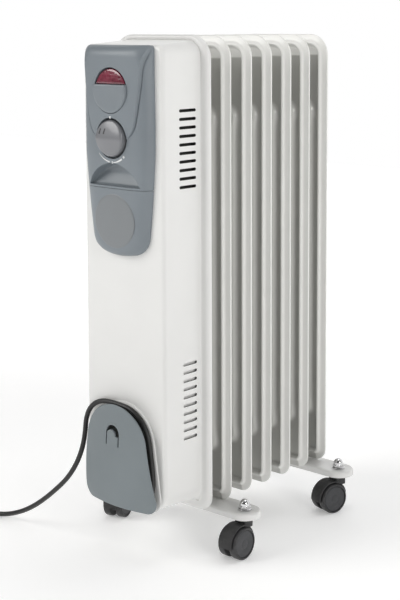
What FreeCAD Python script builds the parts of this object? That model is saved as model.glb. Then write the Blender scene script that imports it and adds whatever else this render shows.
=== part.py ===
"""Oil filled radiator heater: seven oil filled fins, a control housing and four casters.

The object stands on the plane Z = 0, centred on X = 0, with its control panel facing -Y.
Forms are modelled about the first fin's seam (Y = 0). A node places its forms and carries
the shift that brings the origin to the middle of the heater's footprint. Millimetres.
"""
import FreeCAD, Part
import math
import os
import re
import sys

from FreeCAD import Placement, Rotation, Vector
from Sketcher import Constraint

FIN_COUNT = 7
VENT_COUNT = 10

SIZES = {
    # fins: two pressed sheets seamed at the edge, with a bead inside the seam and oil channels
    "fin_pitch": 39.74, "fin_width": 154.4, "fin_height": 580.0, "fin_top_corner": 28.0,
    "fin_foot_corner": 17.0, "sheet": 0.5, "bead_inset": 9.0, "bead_width": 7.0, "bead_rise": 3.5,
    "channel_width": 29.0, "channel_spacing": 41.5, "channel_depth": 7.5,
    "channel_top_gap": 87.8, "channel_foot_gap": 59.2,
    "header_radius": 24.0, "header_top_gap": 56.0, "header_foot_gap": 39.0,
    "ring_radius": 20.0, "port_radius": 16.0, "cap_thickness": 1.5,
    # casters
    "wheel_diameter": 39.0, "wheel_width": 8.6, "wheel_spacing": 7.8, "wheel_dish": 1.4,
    "wheel_rim": 2.6, "tread_edge": 1.4, "caster_trail": 16.0, "fender_clearance": 1.2,
    "fender_wall": 2.0,
    "fork_web": 7.0, "neck_radius": 5.25, "neck_length": 11.6, "stem_radius": 4.0,
    "neck_drop": 11.6, "axle_radius": 2.0, "running_clearance": 0.05,
    "nut_flats": 13.0, "nut_height": 6.5, "nut_dome_radius": 5.25, "dome_raise": 3.0,
    "front_turn": 19.8, "rear_turn": 16.0,
    # foot brackets
    "bracket_length": 250.4, "bracket_width": 40.0, "bracket_sheet": 2.0, "bracket_flange": 12.0,
    "front_bracket_lead": 8.04, "rear_bracket_lead": 9.44,
    "u_bolt_radius": 2.5, "bolt_play": 0.2, "close_fit": 0.02, "u_bolt_clearance": 0.3,
    "wing_nut_flats": 10.0, "wing_nut_height": 5.0,
    # control housing cover
    "cover_wall": 1.5, "housing_depth": 63.9, "housing_front_width": 122.5,
    "housing_rear_width": 135.0, "housing_top_front": 9.8, "housing_top_rear": 4.8,
    "housing_foot_front": 14.2, "housing_foot_rear": 10.2, "housing_corner": 20.0,
    "housing_edge": 10.0, "flange_reach": 1.8, "flange_clearance": 0.4, "flange_wrap": 5.2,
    "vent_length": 30.1, "vent_foot_length": 23.6, "vent_height": 4.7, "vent_pitch": 10.08,
    "vent_rear": 1.5, "vent_top": 89.4, "vent_foot": 97.2,
    "back_plate_gap": 2.0, "back_plate_sheet": 1.0, "tray_depth": 20.0, "tray_foot": 12.0,
    "stud_radius": 2.5, "screw_radius": 1.75, "screw_head_radius": 3.6,
    # control panel
    "panel_width": 120.0, "panel_corner": 20.0, "panel_draft": 3.9, "panel_foot_corner": 26.0,
    "panel_foot_arc": 120.0, "panel_height": 252.0, "panel_wall": 2.2, "panel_side": 3.0,
    "panel_bevel": 10.5, "panel_bevel_rise": 14.2, "panel_crown": 4.5, "panel_rise": 19.0,
    "panel_slope": 3.2, "panel_slope_start": 128.0, "panel_seam": 166.6, "seam_gap": 0.5,
    "well_wall": 1.5, "well_floor": 10.6, "key_radius": 27.0, "key_clearance": 0.4,
    "key_drop": 53.5, "key_split": 7.5, "key_rise": 3.0, "key_depth": 11.0, "key_travel": 2.0,
    "split_gap": 0.4, "switch_drop": 8.0, "lens_recess": 2.4, "lens_wall": 1.6, "plunger_radius": 4.0,
    "knob_radius": 21.8, "knob_gap": 1.2, "knob_drop": 110.0, "knob_rise": 6.6, "knob_skirt": 8.0,
    "knob_wall": 2.0, "knob_dome": 4.6, "knob_hub": 5.5, "shaft_radius": 3.0, "bushing_length": 6.0,
    "pull_width": 82.0, "pull_height": 23.0, "pull_depth": 13.0, "pull_foot": 2.0,
    "badge_radius": 33.0, "badge_drop": 209.0, "badge_rise": 1.0, "badge_seat": 1.2, "seat_gap": 0.3,
    # switchgear behind the panel
    "window_width": 84.0, "window_height": 116.0, "window_drop": 22.0, "lap": 8.0,
    "bracket_plate": 1.5, "thermostat_width": 34.0, "thermostat_height": 30.0,
    "thermostat_depth": 20.0, "bushing_radius": 5.0, "switch_width": 26.0,
    "switch_height": 18.0, "switch_depth": 22.0, "lamp_radius": 4.0, "lamp_raise": 17.5,
    # heating element in the lower header
    "element_radius": 4.0, "element_spacing": 16.0, "element_length": 205.0,
    "terminal_radius": 1.5, "terminal_length": 16.0, "element_nut_flats": 41.0,
    "element_nut_height": 6.0, "gasket": 1.0, "cutout_radius": 8.0, "cutout_height": 8.0,
    "cutout_raise": 250.0, "block_width": 34.0, "block_depth": 16.0, "block_height": 18.0,
    "block_raise": 100.0, "plug_flats": 13.0, "plug_height": 6.0,
    # cord wrap on the front of the housing
    "wrap_arch": 50.0, "wrap_draft": 8.0, "wrap_corner": 15.0, "wrap_foot": 10.8,
    "wrap_centre": 88.2, "wrap_base": 1.5, "wrap_front": 23.4, "wrap_wall": 2.2,
    "wrap_round_width": 190.0, "wrap_round_height": 600.0, "wrap_middle": 69.0, "wrap_span": 72.0,
    "hub_inset": 19.0, "hub_wall": 2.5, "wrap_clearance": 0.4, "clip_radius": 11.5,
    "clip_raise": 98.2, "clip_tongue": 6.9, "clip_slit": 12.0, "clip_slit_width": 2.2,
    # mains cord and its plug
    "cord_radius": 3.1, "wrap_turns_inset": 1.0, "relief_length": 24.0, "relief_radius": 3.4,
    "relief_thread": 3.9, "coil_mean_radius": 34.5, "coil_width": 12.4, "coil_height": 12.6,
    "plug_radius": 18.0, "plug_length": 24.0, "plug_neck_radius": 6.0, "plug_neck_length": 26.0,
    "plug_lift": 9.8, "pin_radius": 2.4, "pin_shank_radius": 2.0, "pin_seat": 6.0, "pin_length": 19.0,
    "pin_spacing": 19.0,
}

DERIVED = {
    "fender_radius": "wheel_diameter / 2 + fender_clearance + fender_wall",
    "neck_top": "wheel_diameter / 2 + fender_radius + neck_length - running_clearance * 4",
    "bracket_under": "wheel_diameter / 2 + fender_radius + neck_length",
    "bracket_top": "bracket_under + bracket_sheet",
    "stem_x": "bracket_length / 2 - bracket_width / 2",
    "front_bracket_y": "fin_pitch - front_bracket_lead",
    "rear_bracket_y": "fin_pitch * %d - rear_bracket_lead" % (FIN_COUNT - 1),
    "last_fin_y": "fin_pitch * %d" % (FIN_COUNT - 1),
    "fin_foot": "bracket_top",
    "fin_top": "fin_foot + fin_height",
    "channel_low": "fin_foot + channel_foot_gap",
    "channel_high": "fin_top - channel_top_gap",
    "upper_header": "fin_top - header_top_gap",
    "lower_header": "fin_foot + header_foot_gap",
    "bead_front": "-(sheet + bead_rise)",
    "flange_front": "bead_front - cover_wall",
    "housing_front": "flange_front - housing_depth",
    "housing_top": "fin_top - housing_top_front",
    "housing_foot": "fin_foot + housing_foot_front",
    "back_plate_y": "-(channel_depth + back_plate_gap)",
    "wall_inside": "housing_front + cover_wall",
    "carrier_back": "wall_inside + bracket_plate",
    "panel_top": "housing_top",
    "panel_front": "housing_front - panel_rise",
    "floor_front": "panel_front + well_floor",
    "seam_z": "panel_top - panel_seam",
    "pull_arch_radius": "pull_width / 2 * 1.12",
    "key_z": "panel_top - key_drop",
    "split_z": "key_z + key_split",
    "switch_z": "key_z - switch_drop",
    "knob_z": "panel_top - knob_drop",
    "knob_front": "panel_front - knob_rise",
    "badge_z": "panel_top - badge_drop",
    "badge_y": "panel_front + (badge_drop - panel_slope_start) * tan(panel_slope * 1deg) + badge_seat",
    "wrap_z": "fin_foot + wrap_centre",
    "wrap_low": "fin_foot + wrap_foot",
    "wrap_y": "housing_front - wrap_front",
    "clip_z": "fin_foot + clip_raise",
    "relief_z": "wrap_low + wrap_turns_inset + cord_radius * 2",
    "plug_grip": "plug_neck_length + plug_length * 0.7",
    "plug_tilt": "atan((plug_radius - plug_lift) / plug_grip) / 1deg",
    "footprint_mid": "(rear_bracket_y + bracket_width / 2 + knob_front) / 2",
}

# The free cord's route from the wrap to the coil, in the heater's own frame. Each point is
# chosen by hand and stays as it is when a size changes.
CORD_ROUTE = [
    (-6.0, -151.4, 189.6), (-22.5, -151.5, 190.9), (-39.5, -152.2, 188.4),
    (-53.5, -153.4, 178.6), (-62.0, -155.2, 163.6), (-64.5, -158.0, 146.0),
    (-66.0, -161.2, 126.0), (-73.0, -164.5, 104.0), (-88.0, -166.0, 81.5),
    (-109.0, -167.0, 60.0), (-133.0, -167.2, 41.0), (-158.0, -166.6, 25.0),
    (-184.0, -166.0, 12.5), (-209.0, -167.0, 4.4), (-231.0, -173.0, 3.2), (-248.0, -179.5, 3.2),
]
COIL_CENTRE = (-240.0, -219.0)
PLUG_AT = (-269.8, -246.9)
PLUG_TURN = -70.0

doc = FreeCAD.newDocument("oil_filled_radiator")
sheet = doc.addObject("Spreadsheet::Sheet", "Sizes")
for row, (alias, number) in enumerate(SIZES.items(), 1):
    sheet.set("A%d" % row, alias)
    sheet.set("B%d" % row, str(number))
    sheet.setAlias("B%d" % row, alias)
derived = doc.addObject("App::VarSet", "Derived")
doc.recompute()
OWNER = {alias: "Sizes." + alias for alias in SIZES}
OWNER.update({name: "Derived." + name for name in DERIVED})


def full(text):
    """Return an expression with each size named together with the object that owns it."""
    return re.sub(r"[A-Za-z_][A-Za-z0-9_]*", lambda word: OWNER.get(word.group(0), word.group(0)), text)


def bind(obj, prop, text):
    """Bind one property of an object to an expression on the sizes."""
    obj.setExpression(prop, full(text))


def value(text):
    """Return an expression's present value as a number."""
    return float(sheet.evalExpression(full(text)))


for name, text in DERIVED.items():
    derived.addProperty("App::PropertyFloat", name)
    bind(derived, name, text)
doc.recompute()

# ---------------------------------------------------------------- primitives and booleans
ALONG = {"X": Rotation(Vector(0, 1, 0), 90), "Y": Rotation(Vector(1, 0, 0), -90), "Z": Rotation()}


def put(obj, at, rotation=Rotation()):
    """Turn an object and bind its base point to three expressions."""
    obj.Placement = Placement(Vector(), rotation)
    for axis, text in zip("xyz", at):
        bind(obj, "Placement.Base." + axis, text)
    return obj


def box(name, size, at):
    """Box with its low corner at a point."""
    obj = doc.addObject("Part::Box", name)
    for prop, text in zip(("Length", "Width", "Height"), size):
        bind(obj, prop, text)
    return put(obj, at)


def rod(name, radius, length, at, along="Z"):
    """Cylinder that starts at a point and runs along an axis."""
    obj = doc.addObject("Part::Cylinder", name)
    bind(obj, "Radius", radius)
    bind(obj, "Height", length)
    return put(obj, at, ALONG[along])


def cone(name, start_radius, end_radius, length, at, along="Z"):
    """Cone that starts at a point and runs along an axis."""
    obj = doc.addObject("Part::Cone", name)
    bind(obj, "Radius1", start_radius)
    bind(obj, "Radius2", end_radius)
    bind(obj, "Height", length)
    return put(obj, at, ALONG[along])


def ball(name, radius, at):
    """Sphere about a point."""
    obj = doc.addObject("Part::Sphere", name)
    bind(obj, "Radius", radius)
    return put(obj, at)


def hexagon(name, flats, length, at, along="Z"):
    """Six sided prism of a width across its flats."""
    obj = doc.addObject("Part::Prism", name)
    obj.Polygon = 6
    bind(obj, "Circumradius", "(%s) / sqrt(3)" % flats)
    bind(obj, "Height", length)
    return put(obj, at, ALONG[along])


def fuse(name, forms):
    """Union of forms."""
    obj = doc.addObject("Part::MultiFuse", name)
    obj.Shapes = forms
    return obj


def cut(name, base, tools):
    """Base form with every tool taken away."""
    obj = doc.addObject("Part::Cut", name)
    obj.Base = base
    obj.Tool = tools[0] if len(tools) == 1 else fuse(name + "_tools", tools)
    return obj


def common(name, forms):
    """What all the forms share."""
    obj = doc.addObject("Part::MultiCommon", name)
    obj.Shapes = forms
    return obj


def tube(name, outer, inner, length, at, along="Z"):
    """Round tube that starts at a point and runs along an axis."""
    return cut(name, rod(name + "_outer", outer, length, at, along),
               [rod(name + "_bore", inner, length, at, along)])


def placed(name, forms, at, turn="0"):
    """Copy of forms, turned about Z and moved to a point."""
    obj = doc.addObject("Part::Compound", name)
    obj.Links = forms
    obj.Placement = Placement(Vector(), Rotation(Vector(0, 0, 1), 0))
    bind(obj, "Placement.Rotation.Angle", turn)
    for axis, text in zip("xyz", at):
        bind(obj, "Placement.Base." + axis, text)
    return obj


NODES = []


def node(label, forms, at=("0", "0", "0"), turn="0"):
    """One sub-part of the heater: its forms, placed in the heater's own frame."""
    obj = placed("node_" + label, forms, (at[0], "%s - footprint_mid" % at[1], at[2]), turn)
    obj.Label = label
    NODES.append(obj)
    return obj


# ---------------------------------------------------------------- sketches and pads
def front_sketch(body, y):
    """Sketch in the plane Y = y that looks to the front, so that a pad grows towards -Y."""
    sketch = body.newObject("Sketcher::SketchObject", body.Name + "_sketch")
    plane = next(item for item in body.Origin.OriginFeatures if item.Role == "XZ_Plane")
    sketch.AttachmentSupport = [(plane, "")]
    sketch.MapMode = "FlatFace"
    bind(sketch, "AttachmentOffset.Base.z", "-(%s)" % y)
    return sketch


def pad(body, sketch, length):
    """Pad of a front sketch, towards -Y."""
    feature = body.newObject("PartDesign::Pad", body.Name + "_pad")
    feature.Profile = sketch
    bind(feature, "Length", length)
    body.Tip = feature
    return feature


def pocket(body, sketch, length):
    """Pocket of a front sketch, towards +Y."""
    feature = body.newObject("PartDesign::Pocket", body.Name + "_pocket")
    feature.Profile = sketch
    bind(feature, "Length", length)
    body.Tip = feature
    return feature


def fix(sketch, kind, *where, size=None):
    """Add one constraint, bound to an expression if it has a size."""
    if size is None:
        return sketch.addConstraint(Constraint(kind, *where))
    index = sketch.addConstraint(Constraint(kind, *where, value(size)))
    bind(sketch, "Constraints[%d]" % index, size)
    return index


def line(sketch, start, end):
    """Line of a sketch between two points."""
    return sketch.addGeometry(Part.LineSegment(Vector(*start, 0), Vector(*end, 0)))


def arc(sketch, centre, radius, first, last):
    """Counterclockwise arc of a sketch, between two angles in degrees."""
    circle = Part.Circle(Vector(*centre, 0), Vector(0, 0, 1), radius)
    return sketch.addGeometry(Part.ArcOfCircle(circle, math.radians(first), math.radians(last)))


def chain(sketch, parts):
    """Join parts of an outline end to start, each tangent to the next."""
    for here, following in zip(parts, parts[1:] + parts[:1]):
        sketch.addConstraint(Constraint("Tangent", here, 2, following, 1))


def rounded_rectangle(sketch, half_width, low, high, low_radius, high_radius):
    """Upright rectangle about X = 0 with round corners."""
    half, bottom, top, small, large = map(value, (half_width, low, high, low_radius, high_radius))
    foot = line(sketch, (small - half, bottom), (half - small, bottom))
    foot_right = arc(sketch, (half - small, bottom + small), small, -90, 0)
    right = line(sketch, (half, bottom + small), (half, top - large))
    top_right = arc(sketch, (half - large, top - large), large, 0, 90)
    head = line(sketch, (half - large, top), (large - half, top))
    top_left = arc(sketch, (large - half, top - large), large, 90, 180)
    left = line(sketch, (-half, top - large), (-half, bottom + small))
    foot_left = arc(sketch, (small - half, bottom + small), small, 180, 270)
    chain(sketch, [foot, foot_right, right, top_right, head, top_left, left, foot_left])
    for level in (foot, head):
        fix(sketch, "Horizontal", level)
    for upright in (left, right):
        fix(sketch, "Vertical", upright)
    for corner, radius in ((foot_right, low_radius), (foot_left, low_radius),
                           (top_right, high_radius), (top_left, high_radius)):
        fix(sketch, "Radius", corner, size=radius)
    fix(sketch, "DistanceX", -1, 1, right, 1, size=half_width)
    fix(sketch, "DistanceX", left, 1, -1, 1, size=half_width)
    fix(sketch, "DistanceY", -1, 1, foot, 1, size=low)
    fix(sketch, "DistanceY", -1, 1, head, 1, size=high)


def upright_slot(sketch, centre, low, high, half_width):
    """Upright slot with round ends, reaching from low to high."""
    x, bottom, top, half = map(value, (centre, low, high, half_width))
    foot = arc(sketch, (x, bottom + half), half, 180, 360)
    right = line(sketch, (x + half, bottom + half), (x + half, top - half))
    head = arc(sketch, (x, top - half), half, 0, 180)
    left = line(sketch, (x - half, top - half), (x - half, bottom + half))
    chain(sketch, [foot, right, head, left])
    fix(sketch, "Vertical", right)
    fix(sketch, "Equal", foot, head)
    fix(sketch, "Radius", foot, size=half_width)
    place_x(sketch, foot, centre)
    fix(sketch, "DistanceY", -1, 1, foot, 3, size="%s + %s" % (low, half_width))
    fix(sketch, "DistanceY", -1, 1, head, 3, size="%s - %s" % (high, half_width))


def level_slot(sketch, half_length, height, half_width):
    """Level slot with round ends, about X = 0 at a height."""
    reach, z, half = map(value, (half_length, height, half_width))
    right = arc(sketch, (reach - half, z), half, -90, 90)
    head = line(sketch, (reach - half, z + half), (half - reach, z + half))
    left = arc(sketch, (half - reach, z), half, 90, 270)
    foot = line(sketch, (half - reach, z - half), (reach - half, z - half))
    chain(sketch, [right, head, left, foot])
    fix(sketch, "Horizontal", head)
    fix(sketch, "Equal", right, left)
    fix(sketch, "Radius", right, size=half_width)
    fix(sketch, "DistanceY", -1, 1, right, 3, size=height)
    fix(sketch, "DistanceX", -1, 1, right, 3, size="%s - %s" % (half_length, half_width))
    fix(sketch, "DistanceX", left, 3, -1, 1, size="%s - %s" % (half_length, half_width))


def place_x(sketch, item, centre):
    """Put an arc's or circle's centre at a distance from the upright axis, or on it."""
    if centre == "0":
        fix(sketch, "PointOnObject", item, 3, -2)
    else:
        fix(sketch, "DistanceX", -1, 1, item, 3, size=centre)


def circle(sketch, centre, height, radius):
    """Circle at a height."""
    x, z, size = map(value, (centre, height, radius))
    item = sketch.addGeometry(Part.Circle(Vector(x, z, 0), Vector(0, 0, 1), size))
    fix(sketch, "Radius", item, size=radius)
    place_x(sketch, item, centre)
    fix(sketch, "DistanceY", -1, 1, item, 3, size=height)


def arch_outline(sketch, inset):
    """Outline of the cord wrap: round top, sides that spread downwards, round foot corners."""
    radius_text = "wrap_arch - (%s)" % inset
    corner_text = "wrap_corner - (%s) * 0.6" % inset
    low_text = "wrap_low + (%s)" % inset
    radius, corner, low, draft, middle = map(value, (radius_text, corner_text, low_text, "wrap_draft",
                                                     "wrap_z"))
    slant = math.radians(draft)
    normal, down = (math.cos(slant), math.sin(slant)), (math.sin(slant), -math.cos(slant))
    start = (radius * normal[0], middle + radius * normal[1])
    run = (start[1] - corner * normal[1] - low - corner) / -down[1]
    end = (start[0] + run * down[0], start[1] + run * down[1])
    centre = (end[0] - corner * normal[0], end[1] - corner * normal[1])
    mirrored = [(-x, z) for x, z in (start, end, centre)]
    head = arc(sketch, (0, middle), radius, draft, 180 - draft)
    left = line(sketch, mirrored[0], mirrored[1])
    foot_left = arc(sketch, mirrored[2], corner, 180 - draft, 270)
    foot = line(sketch, (mirrored[2][0], low), (centre[0], low))
    foot_right = arc(sketch, centre, corner, -90, draft)
    right = line(sketch, end, start)
    chain(sketch, [head, left, foot_left, foot, foot_right, right])
    fix(sketch, "PointOnObject", head, 3, -2)
    fix(sketch, "DistanceY", -1, 1, head, 3, size="wrap_z")
    fix(sketch, "Radius", head, size=radius_text)
    fix(sketch, "Radius", foot_left, size=corner_text)
    fix(sketch, "Radius", foot_right, size=corner_text)
    fix(sketch, "Horizontal", foot)
    fix(sketch, "DistanceY", -1, 1, foot, 1, size=low_text)
    spread = "(wrap_arch - (%s)) * cos(wrap_draft * 1deg)" % inset
    fix(sketch, "DistanceX", -1, 1, head, 1, size=spread)
    fix(sketch, "DistanceX", head, 2, -1, 1, size=spread)


def panel_outline(sketch, inset):
    """Outline of the control panel: square shoulders, sides that draw in, a shallow round foot."""
    half_text = "panel_width / 2 - (%s)" % inset
    corner_text = "panel_corner - (%s)" % inset
    foot_corner_text = "panel_foot_corner - (%s)" % inset
    foot_arc_text = "panel_foot_arc - (%s)" % inset
    top_text = "panel_top - (%s)" % inset
    foot_centre_text = "panel_top - panel_height + panel_foot_arc"
    half, corner, foot_corner, foot_arc, top, foot_centre, draft = map(value, (
        half_text, corner_text, foot_corner_text, foot_arc_text, top_text, foot_centre_text,
        "panel_draft"))
    slant = math.radians(draft)
    normal, down = (math.cos(slant), -math.sin(slant)), (-math.sin(slant), -math.cos(slant))
    shoulder = (half - corner, top - corner)
    start = (shoulder[0] + corner * normal[0], shoulder[1] + corner * normal[1])
    first = (start[0] - foot_corner * normal[0], start[1] - foot_corner * normal[1] - foot_centre)
    along = first[0] * down[0] + first[1] * down[1]
    rest = first[0] ** 2 + first[1] ** 2 - (foot_arc - foot_corner) ** 2
    run = -along + math.sqrt(along * along - rest)
    end = (start[0] + run * down[0], start[1] + run * down[1])
    centre = (end[0] - foot_corner * normal[0], end[1] - foot_corner * normal[1])
    bearing = math.degrees(math.atan2(centre[1] - foot_centre, centre[0]))
    head = line(sketch, (shoulder[0], top), (-shoulder[0], top))
    top_left = arc(sketch, (-shoulder[0], shoulder[1]), corner, 90, 180 + draft)
    left = line(sketch, (-start[0], start[1]), (-end[0], end[1]))
    foot_left = arc(sketch, (-centre[0], centre[1]), foot_corner, 180 + draft, 180 - bearing)
    foot = arc(sketch, (0, foot_centre), foot_arc, 180 - bearing, 360 + bearing)
    foot_right = arc(sketch, centre, foot_corner, 360 + bearing, 360 - draft)
    right = line(sketch, end, start)
    top_right = arc(sketch, shoulder, corner, -draft, 90)
    chain(sketch, [head, top_left, left, foot_left, foot, foot_right, right, top_right])
    fix(sketch, "Horizontal", head)
    fix(sketch, "DistanceY", -1, 1, head, 1, size=top_text)
    for item, text in ((top_left, corner_text), (top_right, corner_text), (foot_left, foot_corner_text),
                       (foot_right, foot_corner_text), (foot, foot_arc_text)):
        fix(sketch, "Radius", item, size=text)
    fix(sketch, "DistanceX", -1, 1, top_right, 3, size="panel_width / 2 - panel_corner")
    fix(sketch, "DistanceX", top_left, 3, -1, 1, size="panel_width / 2 - panel_corner")
    fix(sketch, "PointOnObject", foot, 3, -2)
    fix(sketch, "DistanceY", -1, 1, foot, 3, size=foot_centre_text)
    drop = "(%s) * sin(panel_draft * 1deg)" % corner_text
    fix(sketch, "DistanceY", top_right, 1, top_right, 3, size=drop)
    fix(sketch, "DistanceY", top_left, 2, top_left, 3, size=drop)


def body(name):
    """New PartDesign body."""
    return doc.addObject("PartDesign::Body", name)


def loft(solid, profile, sections, ruled=True):
    """Loft through sketches of one body."""
    feature = solid.newObject("PartDesign::AdditiveLoft", solid.Name + "_loft")
    feature.Profile = profile
    feature.Sections = sections
    feature.Ruled = ruled
    solid.Tip = feature
    return feature


def revolved(name, profile_points):
    """Body of revolution about Z from a profile of (radius, height) expressions."""
    solid = body(name)
    sketch = solid.newObject("Sketcher::SketchObject", name + "_profile")
    plane = next(item for item in solid.Origin.OriginFeatures if item.Role == "XZ_Plane")
    sketch.AttachmentSupport = [(plane, "")]
    sketch.MapMode = "FlatFace"
    spots = [(value(x), value(z)) for x, z in profile_points]
    sides = [line(sketch, a, b) for a, b in zip(spots, spots[1:] + spots[:1])]
    for index, (x, z) in enumerate(profile_points):
        fix(sketch, "Coincident", sides[index - 1], 2, sides[index], 1)
        if x == "0":
            fix(sketch, "PointOnObject", sides[index], 1, -2)
        else:
            fix(sketch, "DistanceX", -1, 1, sides[index], 1, size=x)
        if z == "0":
            fix(sketch, "PointOnObject", sides[index], 1, -1)
        else:
            fix(sketch, "DistanceY", -1, 1, sides[index], 1, size=z)
    turn = solid.newObject("PartDesign::Revolution", name + "_turn")
    turn.Profile = sketch
    turn.ReferenceAxis = (sketch, ["V_Axis"])
    turn.Angle = 360
    solid.Tip = turn
    return solid


# ---------------------------------------------------------------- fins and headers
def channel_pads(solid, inset):
    """Pads of the oil channels and header bosses, drawn in from their outside by an inset."""
    back = "channel_depth - (%s)" % inset
    depth = "(channel_depth - (%s)) * 2" % inset
    half = "channel_width / 2 - (%s)" % inset
    low, high = "channel_low + (%s)" % inset, "channel_high - (%s)" % inset
    for centre in ("-channel_spacing", "channel_spacing"):
        sketch = front_sketch(solid, back)
        upright_slot(sketch, centre, low, high, half)
        pad(solid, sketch, depth)
    reach = "channel_spacing + channel_width / 2 - (%s)" % inset
    for height in ("channel_low + channel_width / 2", "channel_high - channel_width / 2"):
        sketch = front_sketch(solid, back)
        level_slot(sketch, reach, height, half)
        pad(solid, sketch, depth)
    sketch = front_sketch(solid, back)
    upright_slot(sketch, "0", "lower_header", "upper_header", half)
    pad(solid, sketch, depth)
    for height in ("lower_header", "upper_header"):
        sketch = front_sketch(solid, back)
        circle(sketch, "0", height, "header_radius - (%s)" % inset)
        pad(solid, sketch, depth)


def fin_outline(sketch, inset):
    """Outline of a fin, drawn in by an inset."""
    rounded_rectangle(sketch, "fin_width / 2 - (%s)" % inset, "fin_foot + (%s)" % inset,
                      "fin_top - (%s)" % inset, "fin_foot_corner - (%s) * 0.9" % inset,
                      "fin_top_corner - (%s) * 0.9" % inset)


def fin_form():
    """One fin: two sheets seamed all round, a raised bead, and hollow oil channels."""
    solid = body("fin_sheets")
    web = front_sketch(solid, "sheet")
    fin_outline(web, "0")
    pad(solid, web, "sheet * 2")
    bead = front_sketch(solid, "0")
    fin_outline(bead, "bead_inset")
    fin_outline(bead, "bead_inset + bead_width")
    pad(solid, bead, "sheet + bead_rise")
    hollow = front_sketch(solid, "bead_front + sheet * 2")
    fin_outline(hollow, "bead_inset + sheet * 2")
    fin_outline(hollow, "bead_inset + bead_width - sheet * 2")
    pocket(solid, hollow, "bead_rise + sheet * 2")
    channel_pads(solid, "0")
    oil = body("fin_oil")
    channel_pads(oil, "sheet")
    ports = [rod("port_" + end, "port_radius", "channel_depth * 2 + 2",
                 ("0", "-channel_depth - 1", height), "Y")
             for end, height in (("upper", "upper_header"), ("lower", "lower_header"))]
    return cut("fin_form", solid, [oil] + ports)


def header_parts():
    """Rings between the fins' bosses, and the caps that close the two headers."""
    ring = tube("header_ring", "ring_radius", "port_radius", "fin_pitch - channel_depth * 2",
                ("0", "0", "0"), "Y")
    for end in ("upper", "lower"):
        rings = [placed("%s_ring_%d" % (end, index), [ring],
                        ("0", "fin_pitch * %d + channel_depth" % index, end + "_header"))
                 for index in range(FIN_COUNT - 1)]
        node(end + "_header_rings", rings)
    cap = rod("header_cap", "ring_radius", "cap_thickness", ("0", "0", "0"), "Y")
    front_cap = tube("front_cap", "ring_radius", "plug_flats / 4 + running_clearance", "cap_thickness",
                     ("0", "-channel_depth - cap_thickness", "upper_header"), "Y")
    node("header_end_caps", [
        front_cap,
        placed("rear_upper_cap", [cap], ("0", "last_fin_y + channel_depth", "upper_header")),
        placed("rear_lower_cap", [cap], ("0", "last_fin_y + channel_depth", "lower_header"))])
    face = "-channel_depth - cap_thickness"
    head = hexagon("filler_head", "plug_flats", "plug_height",
                   ("0", "%s - plug_height" % face, "upper_header"), "Y")
    thread = rod("filler_thread", "plug_flats / 4", "cap_thickness * 3", ("0", face, "upper_header"), "Y")
    node("oil_filler_plug", [fuse("filler_plug", [head, thread])])


def element_parts():
    """Heating element in the lower header, with its seal, nut and thermal cut-out."""
    face = "-channel_depth"
    gasket = tube("gasket_ring", "ring_radius", "port_radius - 2", "gasket",
                  ("0", "%s - gasket" % face, "lower_header"), "Y")
    node("element_gasket", [gasket])
    nut_front = "%s - gasket - element_nut_height" % face
    nut = hexagon("element_nut", "element_nut_flats", "element_nut_height",
                  ("0", nut_front, "lower_header"), "Y")
    legs = [(side, "%s * element_spacing / 2" % side) for side in ("-1", "1")]
    holes = [rod("leg_hole", "element_radius + running_clearance", "element_nut_height + 2",
                 (x, "%s - 1" % nut_front, "lower_header"), "Y") for side, x in legs]
    node("element_flange", [cut("element_nut_bored", nut, holes)])
    sheath = [rod("element_leg", "element_radius", "element_length",
                  (x, "%s - 2" % nut_front, "lower_header"), "Y")
              for side, x in legs]
    pins = [rod("element_terminal", "terminal_radius", "terminal_length",
                (x, "%s - 2 - terminal_length" % nut_front, "lower_header"), "Y") for side, x in legs]
    bend = doc.addObject("Part::Torus", "element_bend")
    bind(bend, "Radius1", "element_spacing / 2")
    bind(bend, "Radius2", "element_radius")
    bend.Angle3 = 180
    put(bend, ("0", "%s - 2 + element_length" % nut_front, "lower_header"))
    node("heating_element", [fuse("element_sheath", sheath + pins + [bend])])
    disc = rod("cutout_disc", "cutout_radius", "cutout_height",
               ("0", "%s - cutout_height" % face, "fin_foot + cutout_raise"), "Y")
    tab = box("cutout_tab", ("cutout_radius * 3", "1", "cutout_radius"),
              ("-cutout_radius * 1.5", "%s - 1" % face, "fin_foot + cutout_raise - cutout_radius / 2"))
    node("thermal_cutout", [fuse("cutout_form", [disc, tab])])


# ---------------------------------------------------------------- control housing
def housing_form(name, inset, rear):
    """Tapered box with round corners and a rounded front edge, drawn in by an inset."""
    solid = body(name)
    edge = "(housing_edge - (%s))" % inset
    sketches = []
    for angle in (0, 22.5, 45, 67.5, 90):
        step = "%s * (1 - sin(%s * 1deg)) + (%s)" % (edge, angle, inset)
        sketch = front_sketch(solid,
                              "housing_front + (%s) + %s * (1 - cos(%s * 1deg))" % (inset, edge, angle))
        rounded_rectangle(sketch, "housing_front_width / 2 - (%s)" % step, "housing_foot + (%s)" % step,
                          "housing_top - (%s)" % step, "housing_corner - (%s)" % step,
                          "housing_corner - (%s)" % step)
        sketches.append(sketch)
    back = front_sketch(solid, rear)
    rounded_rectangle(back, "housing_rear_width / 2 - (%s)" % inset,
                      "fin_foot + housing_foot_rear + (%s)" % inset,
                      "fin_top - housing_top_rear - (%s)" % inset, "housing_corner - (%s)" % inset,
                      "housing_corner - (%s)" % inset)
    loft(solid, sketches[0], sketches[1:] + [back])
    return solid


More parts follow.
